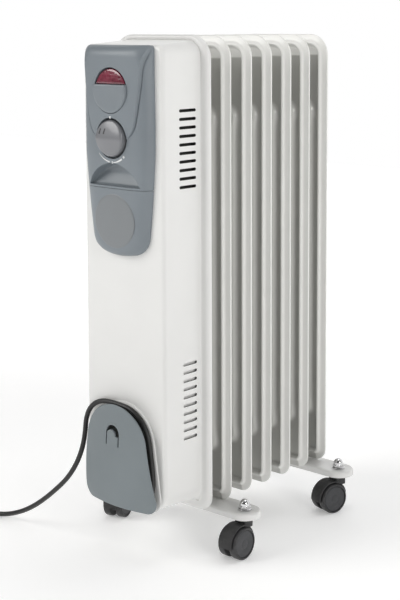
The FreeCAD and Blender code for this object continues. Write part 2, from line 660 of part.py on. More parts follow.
def vent_row(name, length, height):
    """Row of level slots through both sides of the housing, upwards from a height."""
    solid = body(name)
    sketch = solid.newObject("Sketcher::SketchObject", name + "_slot")
    plane = next(item for item in solid.Origin.OriginFeatures if item.Role == "YZ_Plane")
    sketch.AttachmentSupport = [(plane, "")]
    sketch.MapMode = "FlatFace"
    half = "vent_height / 2"
    rear = "flange_front - vent_rear - " + half
    front = "flange_front - vent_rear - %s + %s" % (length, half)
    y_rear, y_front, z, reach = value(rear), value(front), value(height), value(half)
    right = arc(sketch, (y_rear, z), reach, -90, 90)
    head = line(sketch, (y_rear, z + reach), (y_front, z + reach))
    left = arc(sketch, (y_front, z), reach, 90, 270)
    foot = line(sketch, (y_front, z - reach), (y_rear, z - reach))
    chain(sketch, [right, head, left, foot])
    fix(sketch, "Horizontal", head)
    fix(sketch, "Equal", right, left)
    fix(sketch, "Radius", right, size=half)
    fix(sketch, "DistanceY", -1, 1, right, 3, size=height)
    fix(sketch, "DistanceX", right, 3, -1, 1, size="-(%s)" % rear)
    fix(sketch, "DistanceX", left, 3, -1, 1, size="-(%s)" % front)
    slot = solid.newObject("PartDesign::Pad", name + "_cut")
    slot.Profile = sketch
    slot.Midplane = True
    bind(slot, "Length", "fin_width * 2")
    pattern = solid.newObject("PartDesign::LinearPattern", name + "_row")
    pattern.Originals = [slot]
    pattern.Direction = (sketch, ["V_Axis"])
    pattern.Occurrences = VENT_COUNT
    bind(pattern, "Length", "vent_pitch * %d" % (VENT_COUNT - 1))
    solid.Tip = pattern
    return solid


def housing_parts():
    """Cover, back plate, and the studs and screws that hold them to the first fin."""
    outer = housing_form("cover_outside", "0", "bead_front")
    inner = housing_form("cover_inside", "cover_wall", "bead_front + 1")
    flange = body("cover_flange")
    plate = front_sketch(flange, "bead_front")
    fin_outline(plate, "-flange_reach")
    pad(flange, plate, "cover_wall")
    lip = front_sketch(flange, "flange_front + flange_wrap + cover_wall")
    fin_outline(lip, "-flange_reach")
    fin_outline(lip, "-flange_clearance")
    pad(flange, lip, "flange_wrap + cover_wall")
    window = box("cover_window", ("window_width", "cover_wall * 4 + housing_edge", "window_height"),
                 ("-window_width / 2", "housing_front - cover_wall * 2",
                  "panel_top - window_drop - window_height"))
    gland = rod("gland_hole", "relief_thread + running_clearance", "cover_wall * 4",
                ("-relief_length", "housing_front - cover_wall", "relief_z"), "Y")
    vents = [vent_row("upper_vents", "vent_length",
                      "fin_top - vent_top - vent_pitch * %d" % (VENT_COUNT - 1)),
             vent_row("lower_vents", "vent_foot_length", "fin_foot + vent_foot")]
    shell = fuse("cover_blank", [outer, flange])
    foot_z = "(fin_foot + housing_foot_rear)"
    screw_y = "back_plate_y - tray_foot / 2"
    screw_xs = [side + " * housing_rear_width / 4" for side in ("-1", "1")]
    screw_holes = [rod("cover_screw_hole", "screw_radius + bolt_play", "cover_wall * 6",
                       (x, screw_y, foot_z + " - cover_wall * 2"))
                   for x in screw_xs]
    node("control_housing", [cut("cover_form", shell, [inner, window, gland] + vents + screw_holes)])

    plate = body("back_plate")
    sketch = front_sketch(plate, "back_plate_y")
    inside = "housing_rear_width / 2 - cover_wall - 2"
    rounded_rectangle(sketch, inside, "fin_foot + housing_foot_rear + cover_wall + 2",
                      "fin_top - housing_top_rear - cover_wall - 2", "housing_corner - 4",
                      "housing_corner - 4")
    pad(plate, sketch, "back_plate_sheet")
    sides = [box("tray_side", ("back_plate_sheet", "tray_depth", "vent_pitch * %d" % (VENT_COUNT + 2)),
                 (x, "back_plate_y - tray_depth", "fin_foot + vent_foot - vent_pitch * 1.5"))
             for x in ("-(%s) + 1.2" % inside, "%s - 1.2 - back_plate_sheet" % inside)]
    foot = box("tray_foot", ("housing_rear_width * 0.7", "tray_foot", "back_plate_sheet"),
               ("-housing_rear_width * 0.35", "back_plate_y - tray_foot", foot_z + " + cover_wall + 2"))
    foot_holes = [rod("tray_foot_hole", "screw_radius + running_clearance", "back_plate_sheet * 4",
                      (x, screw_y, foot_z + " + cover_wall"))
                  for x in screw_xs]
    holes = [rod("plate_hole", radius, "back_plate_sheet * 4",
                 ("0", "back_plate_y - back_plate_sheet * 2", height), "Y")
             for radius, height in (("header_radius + 2", "upper_header"),
                                    ("header_radius + 2", "lower_header"),
                                    ("cutout_radius * 1.6 + 2", "fin_foot + cutout_raise"))]
    stud_spots = [(side + " * (channel_spacing + 4)", height)
                  for side in ("-1", "1") for height in ("lower_header", "upper_header + 12")]
    stud_holes = [rod("stud_hole", "stud_radius + running_clearance", "back_plate_sheet * 4",
                      (x, "back_plate_y - back_plate_sheet * 2", z), "Y") for x, z in stud_spots]
    node("housing_back_plate", [cut("back_plate_form", fuse("tray", [plate, foot] + sides),
                                    holes + stud_holes + foot_holes)])
    studs = []
    for index, (x, z) in enumerate(stud_spots):
        stud = rod("stud_%d" % index, "stud_radius", "-back_plate_y + back_plate_sheet * 5 - sheet",
                   (x, "back_plate_y - back_plate_sheet * 5", z), "Y")
        nut = tube("stud_nut_%d" % index, "stud_radius * 1.8", "stud_radius - bolt_play",
                   "back_plate_sheet * 3",
                   (x, "back_plate_y - back_plate_sheet * 4", z), "Y")
        collar = tube("stud_collar_%d" % index, "stud_radius * 1.6", "stud_radius - bolt_play",
                      "-back_plate_y - sheet",
                      (x, "back_plate_y", z), "Y")
        studs.append(fuse("stud_set_%d" % index, [stud, nut, collar]))
    screws = []
    for index, x in enumerate(screw_xs):
        shank = rod("cover_screw_%d" % index, "screw_radius", "cover_wall * 8",
                    (x, screw_y, foot_z + " - cover_wall * 2"))
        head = rod("cover_screw_head_%d" % index, "screw_head_radius", "2.2",
                   (x, screw_y, foot_z + " - cover_wall * 2 - 1.2"))
        screws.append(fuse("cover_screw_set_%d" % index, [shank, head]))
    node("housing_fasteners", studs + screws)


# ---------------------------------------------------------------- control panel
def panel_block(name, inset, rear):
    """Solid of the control panel, drawn in by an inset, with its lower front sloping back."""
    solid = body(name)
    steps = [("0", rear), ("0", "housing_front - panel_side + (%s) * 0.5" % inset),
             ("panel_bevel", "housing_front - panel_bevel_rise + (%s) * 0.8" % inset),
             ("panel_bevel + panel_crown", "panel_front + (%s)" % inset)]
    sketches = []
    for step, y in steps:
        sketch = front_sketch(solid, y)
        panel_outline(sketch, "%s + %s" % (step, inset))
        sketches.append(sketch)
    loft(solid, sketches[0], sketches[1:])
    slope = box(name + "_slope", ("panel_width * 2", "panel_rise * 2", "panel_height * 2"),
                ("0", "0", "0"))
    slope.Placement = Placement(Vector(), Rotation(Vector(1, 0, 0), 0))
    bind(slope, "Placement.Rotation.Angle", "panel_slope")
    reach = "(panel_height * 2)"
    bind(slope, "Placement.Base.x", "-panel_width")
    bind(slope, "Placement.Base.y", "panel_front + (%s) - panel_rise * 2 * cos(panel_slope * 1deg)"
         " + %s * sin(panel_slope * 1deg)" % (inset, reach))
    bind(slope, "Placement.Base.z", "panel_top - panel_slope_start - %s * cos(panel_slope * 1deg)"
         " - panel_rise * 2 * sin(panel_slope * 1deg)" % reach)
    return cut(name + "_form", solid, [slope])


def well(name, height, radius):
    """Solid behind a hole in the panel, in which the hole leaves a round cup."""
    front = "panel_front + 1"
    return rod(name, "%s + well_wall" % radius, "floor_front + well_wall - (%s)" % front,
               ("0", front, height), "Y")


def panel_parts():
    """Upper panel, lower panel, lens, key, knob and badge disc."""
    outside = panel_block("panel_outside", "0", "housing_front")
    inside = panel_block("panel_inside", "panel_wall", "housing_front + 1")
    key_hole, knob_hole = "(key_radius + key_clearance)", "(knob_radius + knob_gap)"
    pull_cup = common("pull_cup", [
        rod("pull_cup_arch", "pull_width / 2 + well_wall", "panel_rise * 2",
            ("0", "panel_front - panel_rise + pull_depth + well_wall",
             "seam_z + pull_foot + pull_height - pull_width / 2"), "Y"),
        box("pull_cup_floor", ("panel_width", "panel_rise * 3", "panel_width"),
            ("-panel_width / 2", "panel_front - panel_rise", "seam_z"))])
    solid_inside = cut("panel_hollow", inside, [
        well("key_well", "key_z", key_hole), well("knob_well", "knob_z", knob_hole),
        box("pull_block", ("pull_width + well_wall * 2", "pull_depth + well_wall",
                           "pull_height + pull_foot + well_wall"),
            ("-pull_width / 2 - well_wall", "panel_front", "seam_z"))])
    pull = common("pull_recess", [
        rod("pull_arch", "pull_arch_radius", "panel_rise + pull_depth",
            ("0", "panel_front - panel_rise", "seam_z + pull_foot + pull_height - pull_arch_radius"),
            "Y"),
        box("pull_floor", ("pull_width", "panel_rise + pull_depth", "panel_width"),
            ("-pull_width / 2", "panel_front - panel_rise", "seam_z + pull_foot"))])
    cup_start = "panel_front - panel_rise"
    cup_depth = "floor_front - (%s)" % cup_start
    openings = [
        rod("key_opening", key_hole, cup_depth, ("0", cup_start, "key_z"), "Y"),
        rod("knob_opening", knob_hole, cup_depth, ("0", cup_start, "knob_z"), "Y"),
        rod("plunger_opening", "plunger_radius + 1", "panel_rise * 2", ("0", cup_start, "switch_z"), "Y"),
        rod("lamp_opening", "lamp_radius + key_clearance", "panel_rise * 2",
            ("0", cup_start, "key_z + lamp_raise"), "Y"),
        rod("shaft_opening", "bushing_radius + 1", "panel_rise * 2", ("0", cup_start, "knob_z"), "Y"),
        pull]
    badge_hole = rod("badge_opening", "badge_radius + seat_gap", "panel_rise",
                     ("0", "badge_y - panel_rise", "badge_z"), "Y")
    blank = cut("panel_blank", outside, [solid_inside])
    large = "panel_height * 2"
    above = box("above_seam", (large, large, large), ("-panel_height", "-panel_height * 1.4",
                                                      "seam_z + seam_gap / 2"))
    below = box("below_seam", (large, large, large), ("-panel_height", "-panel_height * 1.4",
                                                      "seam_z - seam_gap / 2 - panel_height * 2"))
    node("control_panel", [cut("upper_panel", common("upper_panel_blank", [blank, above]), openings)])
    node("badge_panel", [cut("lower_panel", common("lower_panel_blank", [blank, below]), [badge_hole])])
    disc = rod("badge_plate", "badge_radius", "badge_rise + badge_seat",
               ("0", "badge_y - badge_rise - badge_seat", "badge_z"), "Y")
    node("badge_disc", [disc])

    big = "key_radius * 4"
    over = box("over_split", (big, big, big), ("-key_radius * 2", "panel_front - key_radius * 2",
                                               "split_z + split_gap / 2"))
    under = box("under_split", (big, big, big), ("-key_radius * 2", "panel_front - key_radius * 2",
                                                 "split_z - split_gap / 2 - key_radius * 4"))
    lens_front = "panel_front + lens_recess"
    lens_disc = rod("lens_disc", "key_radius", "floor_front - (%s)" % lens_front,
                    ("0", lens_front, "key_z"), "Y")
    lens_core = common("lens_core", [
        rod("lens_core_disc", "key_radius - lens_wall", "floor_front - (%s)" % lens_front,
            ("0", "%s + lens_wall" % lens_front, "key_z"), "Y"),
        placed("lens_core_side", [over], ("0", "0", "lens_wall"))])
    node("indicator_lens", [cut("lens_form", common("lens_blank", [lens_disc, over]), [lens_core])])
    lamp_tip = "%s + lens_wall + 0.5" % lens_front
    lamp = rod("lamp_glass", "lamp_radius - 0.5", "wall_inside - (%s)" % lamp_tip,
               ("0", lamp_tip, "key_z + lamp_raise"), "Y")
    node("indicator_lamp", [lamp])
    key_front = "panel_front - key_rise"
    key_disc = rod("key_disc", "key_radius - split_gap / 2", "key_depth", ("0", key_front, "key_z"), "Y")
    key_core = common("key_core", [
        rod("key_core_disc", "key_radius - panel_wall", "key_depth",
            ("0", "%s + panel_wall" % key_front, "key_z"), "Y"),
        placed("key_core_side", [under], ("0", "0", "-panel_wall"))])
    shell = cut("key_shell", common("key_blank", [key_disc, under]), [key_core])
    plunger_back = "carrier_back - 0.6 - key_travel"
    plunger = rod("key_plunger", "plunger_radius", "%s - (%s) - 1" % (plunger_back, key_front),
                  ("0", "%s + 1" % key_front, "switch_z"), "Y")
    node("power_key", [fuse("key_form", [shell, plunger])])

    height = "(knob_rise + knob_skirt)"
    bore, bore_top = "shaft_radius + running_clearance", height + " - knob_wall * 2.5"
    inside_top = height + " - knob_dome - knob_wall"
    dome = [("knob_radius * %s" % part, "%s - knob_dome * %s" % (height, part * part))
            for part in (1, 0.75, 0.5, 0.25)]
    knob = revolved("knob_form", [
        (bore, "0"), ("knob_hub", "0"), ("knob_hub", inside_top), ("knob_radius - knob_wall", inside_top),
        ("knob_radius - knob_wall", "0"), ("knob_radius",
                                           "0")] + dome + [("0", height), ("0", bore_top),
                                                           (bore, bore_top)])
    turned = doc.addObject("Part::Compound", "knob_turned")
    turned.Links = [knob]
    put(turned, ("0", "knob_front + " + height, "knob_z"), Rotation(Vector(1, 0, 0), 90))
    node("thermostat_knob", [turned])
    shaft_front = "knob_front + knob_wall * 2.5 + 0.1"
    shaft = rod("shaft_form", "shaft_radius", "carrier_back + thermostat_depth / 2 - (%s)" % shaft_front,
                ("0", shaft_front, "knob_z"), "Y")
    node("thermostat_shaft", [shaft])


def switchgear_parts():
    """Carrier plate behind the window with the thermostat, the switch and the terminals."""
    plate = box("carrier_plate", ("window_width + lap * 2", "bracket_plate", "window_height + lap"),
                ("-window_width / 2 - lap", "wall_inside",
                 "panel_top - window_drop - window_height - lap / 2"))
    guide = rod("key_guide", "plunger_radius + 2", "bracket_plate + bushing_length",
                ("0", "carrier_back - bracket_plate - bushing_length", "switch_z"), "Y")
    holes = [rod("guide_bore", "plunger_radius + running_clearance * 2", "bracket_plate * 20",
                 ("0", "carrier_back - bracket_plate * 10", "switch_z"), "Y"),
             rod("bushing_hole", "bushing_radius + running_clearance", "bracket_plate * 4",
                 ("0", "carrier_back - bracket_plate * 2", "knob_z"), "Y")]
    node("control_bracket", [cut("carrier_form", fuse("carrier_blank", [plate, guide]), holes)])
    case = box("thermostat_case", ("thermostat_width", "thermostat_depth", "thermostat_height"),
               ("-thermostat_width / 2", "carrier_back", "knob_z - thermostat_height / 2"))
    bushing = rod("thermostat_bushing", "bushing_radius", "bracket_plate + bushing_length",
                  ("0", "carrier_back - bracket_plate - bushing_length", "knob_z"), "Y")
    bore = rod("thermostat_bore", "shaft_radius + running_clearance",
               "bracket_plate + bushing_length + thermostat_depth / 2 + 1",
               ("0", "carrier_back - bracket_plate - bushing_length", "knob_z"), "Y")
    node("thermostat_body", [cut("thermostat_form", fuse("thermostat_blank", [case, bushing]), [bore])])
    switch = box("switch_case", ("switch_width", "switch_depth", "switch_height"),
                 ("-switch_width / 2", "carrier_back", "switch_z - switch_height / 2"))
    node("switch_body", [switch])
    block = box("terminal_case", ("block_width", "block_depth", "block_height"),
                ("-block_width / 2", "back_plate_y - back_plate_sheet - block_depth",
                 "lower_header + block_raise"))
    ways = [rod("terminal_way", "2.5", "block_depth - 4",
                ("block_width / 6 * %d" % index, "back_plate_y - back_plate_sheet - block_depth - 1",
                 "lower_header + block_raise + block_height / 2"), "Y") for index in (-2, 0, 2)]
    node("terminal_block", [cut("terminal_form", block, ways)])


# ---------------------------------------------------------------- cord wrap
def arch_block(name, inset, back, depth):
    """Block of the cord wrap's outline, drawn in by an inset."""
    solid = body(name)
    sketch = front_sketch(solid, back)
    arch_outline(sketch, inset)
    pad(solid, sketch, depth)
    return solid


def barrel(name, inset):
    """Barrel about an upright axis whose front is the cord wrap's round front, less an inset."""
    steps = [step / 4 for step in range(-4, 5)]
    radii = ["wrap_round_width - (%s) - (wrap_span * %s)^2 / (2 * wrap_round_height)" % (inset, step)
             for step in steps]
    side = [(radius, "wrap_span * %s" % step if step else "0") for radius, step in zip(radii, steps)]
    solid = revolved(name, side + [("0", "wrap_span"), ("0", "-wrap_span")])
    return placed(name + "_placed", [solid], ("0", "wrap_y + wrap_round_width", "fin_foot + wrap_middle"))


def wrap_parts():
    """Base with its hub, front plate, strain relief and the turns of cord between them."""
    gap_back = "housing_front"
    base = arch_block("wrap_base_block", "0", gap_back, "wrap_base")
    hub_depth = "wrap_front - wrap_wall * 2"
    hub = cut("wrap_hub", arch_block("hub_block", "hub_inset", gap_back, hub_depth),
              [arch_block("hub_core", "hub_inset + hub_wall", "housing_front - wrap_base", "wrap_front")])
    dome = barrel("hub_limit", "wrap_wall + running_clearance * 2")
    relief_bore = rod("relief_bore", "relief_thread + running_clearance", "wrap_base * 3",
                      ("-relief_length", "housing_front - wrap_base * 2", "relief_z"), "Y")
    node("cord_wrap_base", [cut("wrap_base_form", common("wrap_base_limited",
                                                         [fuse("wrap_base_blank", [base, hub]), dome]),
                                [relief_bore])])
    outside, inside = barrel("plate_outside", "0"), barrel("plate_inside", "wrap_wall")
    blank = common("plate_blank", [arch_block("plate_block", "0", "housing_front - wrap_base * 2",
                                              "wrap_front * 2"),
                                   cut("plate_skin", outside, [inside])])
    deep, start = "wrap_front * 2", "wrap_y - wrap_front / 2"
    arch = rod("clip_arch", "clip_radius", deep, ("0", start, "clip_z"), "Y")
    tongue = rod("clip_tongue", "clip_tongue", deep, ("0", start, "clip_z"), "Y")
    upper = box("clip_upper", ("clip_radius * 2", deep, "clip_radius"), ("-clip_radius", start, "clip_z"))
    slits = [box("clip_slit", ("clip_slit_width", deep, "clip_slit"), (x, start, "clip_z - clip_slit"))
             for x in ("-clip_radius", "clip_radius - clip_slit_width")]
    clip = fuse("clip_opening", [cut("clip_crescent", common("clip_half", [arch, upper]),
                                     [tongue])] + slits)
    node("cord_wrap_plate", [cut("plate_form", blank, [clip])])

    turns_back = "housing_front - wrap_base - wrap_clearance"
    strip = "cord_radius * 4 + wrap_clearance"
    ring = cut("turns_ring", arch_block("turns_outer", "wrap_turns_inset", turns_back, "cord_radius * 2"),
               [arch_block("turns_inner", "wrap_turns_inset + %s" % strip, turns_back,
                           "cord_radius * 2")])
    notch = box("turns_notch", ("relief_length + 12", "cord_radius * 6", "cord_radius * 8"),
                ("-relief_length - 8", "%s - cord_radius * 4" % turns_back, "wrap_low"))
    node("cord_on_wrap", [cut("turns_form", ring, [notch])])
    middle = "%s - cord_radius" % turns_back
    elbow = rod("relief_elbow", "relief_thread",
                "housing_front + cover_wall * 2 - (%s) + relief_radius + 0.2" % middle,
                ("-relief_length", "%s - relief_radius - 0.2" % middle, "relief_z"), "Y")
    sleeve = cone("relief_sleeve", "relief_radius", "cord_radius + 0.05", "relief_length + 4",
                  ("-relief_length", middle, "relief_z"), "X")
    node("cord_gland", [fuse("relief_form", [elbow, sleeve])])


# ---------------------------------------------------------------- cord and plug
def bent_path(points):
    """Wire of straight runs joined by tangent arcs, each arc as large as its runs allow."""
    corners = [Vector(*point) for point in points]
    edges, radii, here = [], [], corners[0]
    for before, corner, after in zip(corners, corners[1:], corners[2:]):
        inward, outward = (before - corner).normalize(), (after - corner).normalize()
        half_turn = (math.pi - inward.getAngle(outward)) / 2
        reach = 0.45 * min((before - corner).Length, (after - corner).Length)
        radius = reach / math.tan(half_turn)
        start, end = corner + inward * reach, corner + outward * reach
        centre = corner + (inward + outward).normalize() * (radius / math.cos(half_turn))
        middle = centre + (corner - centre).normalize() * radius
        edges += [Part.LineSegment(here, start).toShape(), Part.Arc(start, middle, end).toShape()]
        radii.append(radius)
        here = end
    edges.append(Part.LineSegment(here, corners[-1]).toShape())
    return Part.Wire(edges), radii


def fixed_node(label, shape):
    """Sub-part whose shape is worked out here, already in the heater's own frame."""
    obj = doc.addObject("Part::Feature", "node_" + label)
    obj.Shape = shape
    obj.Placement = Placement()
    obj.Label = label
    NODES.append(obj)
    return obj


def tilted(name, form):
    """Copy of a piece of the plug, which lies with its nose down on the cord's end."""
    obj = doc.addObject("Part::Compound", name)
    obj.Links = [form]
    obj.Placement = Placement(Vector(), Rotation(Vector(0, 1, 0), 0))
    bind(obj, "Placement.Rotation.Angle", "-plug_tilt")
    return obj


def cord_parts():
    """Free run of the cord, the coil it ends in, and the plug."""
    radius = value("cord_radius")
    path, radii = bent_path(CORD_ROUTE)
    heading = Vector(*CORD_ROUTE[1]) - Vector(*CORD_ROUTE[0])
    section = Part.Wire([Part.Circle(Vector(*CORD_ROUTE[0]), heading, radius).toShape()])
    run = path.makePipeShell([section], True, False)
    expected = math.pi * radius ** 2 * path.Length
    print("cord radii", [round(r, 1) for r in radii])
    print("cord length %.1f volume ratio %.5f" % (path.Length, run.Volume / expected))
    fixed_node("mains_cord", run)
    coil = tube("coil_form", "coil_mean_radius + coil_width / 2", "coil_mean_radius - coil_width / 2",
                "coil_height",
                (str(COIL_CENTRE[0]), str(COIL_CENTRE[1]), "0"))
    standing = ("0", "footprint_mid", "0")
    node("cord_coil", [coil], standing)
    neck = cone("plug_neck", "cord_radius + 1", "plug_neck_radius", "plug_neck_length", ("0", "0", "0"),
                "X")
    grip = cone("plug_grip", "plug_neck_radius + 3", "plug_radius", "plug_length * 0.7",
                ("plug_neck_length", "0", "0"), "X")
    face = rod("plug_face", "plug_radius", "plug_length * 0.5",
               ("plug_neck_length + plug_length * 0.7", "0", "0"), "X")
    end = "plug_neck_length + plug_length * 1.2"
    spot = (str(PLUG_AT[0]), "%s + footprint_mid" % PLUG_AT[1],
            "plug_radius * cos(plug_tilt * 1deg) - plug_grip * sin(plug_tilt * 1deg)")
    sides = ["%s * pin_spacing / 2" % side for side in ("-1", "1")]
    shanks = [rod("pin_shank", "pin_shank_radius", "pin_seat", ("%s - pin_seat" % end, y, "0"), "X")
              for y in sides]
    node("plug_body", [tilted("plug_tilted", cut("plug_form", fuse("plug_blank", [neck, grip, face]),
                                                 shanks))],
         spot, str(PLUG_TURN))
    pins = [fuse("plug_pin", [shank, rod("pin_round", "pin_radius", "pin_length", (end, y, "0"), "X")])
            for shank, y in zip(shanks, sides)]
    node("plug_pins", [tilted("pin_tilted", pin) for pin in pins], spot, str(PLUG_TURN))


# ---------------------------------------------------------------- feet and casters
CASTERS = {
    "front_left": ("-stem_x", "front_bracket_y", "front_turn"),
    "front_right": ("stem_x", "front_bracket_y", "0"),
    "rear_left": ("-stem_x", "rear_bracket_y", "rear_turn"),
    "rear_right": ("stem_x", "rear_bracket_y", "-rear_turn"),
}


def bracket_form(bolt_offset, name):
    """Channel across the heater with round ends, with holes for two stems and a U-bolt."""
    def stadium(part, inset, low, height):
        """Level block with round ends."""
        half = "(bracket_width / 2 - (%s))" % inset
        bar = box(part + "_bar", ("stem_x * 2", half + " * 2", height), ("-stem_x", "-" + half, low))
        ends = [rod(part + "_end", half, height, (x, "0", low)) for x in ("-stem_x", "stem_x")]
        return fuse(part, [bar] + ends)
    outer = stadium(name + "_outer", "0", "bracket_top - bracket_flange", "bracket_flange")
    inner = stadium(name + "_inner", "bracket_sheet", "bracket_top - bracket_flange - 1",
                    "bracket_flange - bracket_sheet + 1")
    stems = [rod("stem_hole", "stem_radius + bolt_play", "bracket_sheet * 3",
                 (x, "0", "bracket_under - bracket_sheet"))
             for x in ("-stem_x", "stem_x")]
    bolts = [rod("bolt_hole", "u_bolt_radius + bolt_play", "bracket_sheet * 3",
                 ("%s * (ring_radius + u_bolt_radius + u_bolt_clearance)" % side, bolt_offset,
                  "bracket_under - bracket_sheet")) for side in ("-1", "1")]
    return cut(name, outer, [inner] + stems + bolts)


def foot_parts():
    """Brackets under the fins, the U-bolts that hang them from the lower header, and fasteners."""
    front_bolt_y = "(fin_pitch / 2)"
    rear_bolt_y = "(fin_pitch * %.1f)" % (FIN_COUNT - 1.5)
    node("front_foot_bracket", [bracket_form(front_bolt_y + " - front_bracket_y", "front_bracket")],
         ("0", "front_bracket_y", "0"))
    node("rear_foot_bracket", [bracket_form(rear_bolt_y + " - rear_bracket_y", "rear_bracket")],
         ("0", "rear_bracket_y", "0"))
    spread = "(ring_radius + u_bolt_radius + u_bolt_clearance)"
    leg_low = "bracket_under - wing_nut_height * 1.8"
    legs = [rod("u_leg", "u_bolt_radius", "lower_header - (%s)" % leg_low,
                ("%s * %s" % (side, spread), "0", leg_low))
            for side in ("-1", "1")]
    bow = doc.addObject("Part::Torus", "u_bow")
    bind(bow, "Radius1", spread)
    bind(bow, "Radius2", "u_bolt_radius")
    bow.Angle3 = 180
    put(bow, ("0", "0", "lower_header"), Rotation(Vector(1, 0, 0), 90))
    bolt = fuse("u_bolt", legs + [bow])
    node("u_bolts", [placed("front_u_bolt", [bolt], ("0", front_bolt_y, "0")),
                     placed("rear_u_bolt", [bolt], ("0", rear_bolt_y, "0"))])
    nut_low = "bracket_under - wing_nut_height"
    hexa = hexagon("wing_hub", "wing_nut_flats", "wing_nut_height", ("0", "0", nut_low))
    wings = box("wing_ears", ("wing_nut_flats * 2.2", "2", "wing_nut_height * 0.9"),
                ("-wing_nut_flats * 1.1", "-1", nut_low + " - 1"))
    nut = cut("wing_nut", fuse("wing_blank", [hexa, wings]),
              [rod("wing_bore", "u_bolt_radius + running_clearance", "wing_nut_height * 3",
                   ("0", "0", nut_low + " - wing_nut_height"))])
    node("wing_nuts", [placed("wing_nut_%d" % index, [nut], ("%s * %s" % (side, spread), y, "0"), "0")
                       for index, (side, y) in enumerate((side, y) for y in (front_bolt_y, rear_bolt_y)
                                                         for side in ("-1", "1"))])


def caster_parts():
    """Four twin wheel casters, each a fork, an axle and two wheels, on stems with acorn nuts."""
    axle_z = "wheel_diameter / 2"
    trail_y = "-caster_trail"
    wide = "wheel_spacing + wheel_width * 2"
    fender = cut("fender_shell", rod("fender_outer", "fender_radius", wide,
                                     ("-(%s) / 2" % wide, trail_y, axle_z), "X"),
                 [rod("fender_inner", "fender_radius - fender_wall", wide + " + 2",
                      ("-(%s) / 2 - 1" % wide, trail_y, axle_z), "X"),
                  box("fender_below", ("wheel_diameter * 2", "wheel_diameter * 4", "wheel_diameter"),
                      ("-wheel_diameter", "-wheel_diameter * 2", "%s + 3 - wheel_diameter" % axle_z)),
                  box("fender_behind", ("wheel_diameter * 2", "wheel_diameter", "wheel_diameter * 2"),
                      ("-wheel_diameter", "-caster_trail - 6 - wheel_diameter", "0"))])
    web = common("fork_web", [
        rod("web_disc", "fender_radius - fender_wall / 2", "fork_web", ("-fork_web / 2", trail_y, axle_z),
            "X"),
        box("web_front", ("fork_web", "wheel_diameter * 2", "wheel_diameter * 2"),
            ("-fork_web / 2", "-caster_trail - axle_radius * 2.5", "axle_radius * 4"))])
    neck_low = "(neck_top - neck_length - neck_drop)"
    neck = cut("fork_neck", rod("neck_blank", "neck_radius", "neck_top - " + neck_low,
                                ("0", "0", neck_low)),
               [rod("neck_relief", "fender_radius - fender_wall / 2", wide,
                    ("-(%s) / 2" % wide, trail_y, axle_z), "X")])
    stem_low = "(bracket_under - neck_length - fender_wall * 2)"
    bores = [rod("axle_bore", "axle_radius + close_fit", "fork_web + 2",
                 ("-fork_web / 2 - 1", trail_y, axle_z), "X"),
             rod("stem_bore", "stem_radius + running_clearance", "wheel_diameter * 2",
                 ("0", "0", stem_low + " - 0.3"))]
    fork = cut("fork_form", fuse("fork_blank", [fender, web, neck]), bores)
    half = "wheel_spacing / 2"
    axle_reach = "(wheel_spacing / 2 + wheel_width * 0.75)"
    axle = rod("axle_form", "axle_radius", axle_reach + " * 2", ("-" + axle_reach, trail_y, axle_z), "X")
    rim = "wheel_diameter / 2"
    wheel = revolved("wheel_form", [
        ("axle_radius + running_clearance", "0"), (rim + " - tread_edge", "0"), (rim, "tread_edge"),
        (rim, "wheel_width - tread_edge"),
        (rim + " - tread_edge", "wheel_width"), (rim + " - wheel_rim", "wheel_width"),
        (rim + " - wheel_rim", "wheel_width - wheel_dish"), ("0", "wheel_width - wheel_dish"),
        ("0", "wheel_width * 0.8"), ("axle_radius + running_clearance", "wheel_width * 0.8")])
    upright = {"right": Rotation(Vector(0, 1, 0), 90), "left": Rotation(Vector(0, 1, 0), -90)}
    wheels = {}
    for side, sign in (("right", ""), ("left", "-")):
        spin = doc.addObject("Part::Compound", "wheel_" + side)
        spin.Links = [wheel]
        wheels[side] = put(spin, (sign + half, trail_y, axle_z), upright[side])
    for corner, (x, y, turn) in CASTERS.items():
        at = (x, y, "0")
        node("caster_%s_fork" % corner, [fork], at, turn)
        node("caster_%s_axle" % corner, [axle], at, turn)
        for side in ("left", "right"):
            node("caster_%s_wheel_%s" % (corner, side), [wheels[side]], at, turn)
    stem = rod("stem_form", "stem_radius", "bracket_top + nut_height + dome_raise - " + stem_low,
               ("0", "0", stem_low))
    dome_z = "bracket_top + nut_height + dome_raise"
    nut = cut("acorn_nut", fuse("acorn_blank", [
        hexagon("acorn_hex", "nut_flats", "nut_height", ("0", "0", "bracket_top")),
        rod("acorn_neck", "nut_dome_radius", "nut_height + dome_raise", ("0", "0", "bracket_top")),
        ball("acorn_dome", "nut_dome_radius", ("0", "0", dome_z))]),
        [rod("acorn_bore", "stem_radius + close_fit", "nut_height + dome_raise",
             ("0", "0", "bracket_top"))])
    spots = [(x, y, "0") for x, y, turn in CASTERS.values()]
    node("caster_stems", [placed("stem_%d" % index, [stem], spot) for index, spot in enumerate(spots)])
    node("caster_cap_nuts", [placed("cap_nut_%d" % index, [nut], spot) for index,
                             spot in enumerate(spots)])


# ---------------------------------------------------------------- the heater
def write_nodes():
    """Recompute the document, check every object and write each node."""
    doc.recompute()
    failed = [obj.Label for obj in doc.Objects if {"Invalid", "Error"} & set(obj.State)]
    if failed:
        sys.exit("objects that failed: " + ", ".join(failed))
    for obj in NODES:
        if obj.Shape.isNull() or not obj.Shape.isValid() or not obj.Shape.Solids:
            sys.exit("bad shape: " + obj.Label)
    os.makedirs("parts", exist_ok=True)
    for obj in NODES:
        obj.Shape.exportStep("parts/%s.step" % obj.Label)
    print("nodes", len(NODES))


fin = fin_form()
for number in range(FIN_COUNT):
    node("fin_%d" % (number + 1), [fin], ("0", "fin_pitch * %d" % number, "0"))
header_parts()
element_parts()
housing_parts()
panel_parts()
switchgear_parts()
wrap_parts()
cord_parts()
foot_parts()
caster_parts()
write_nodes()
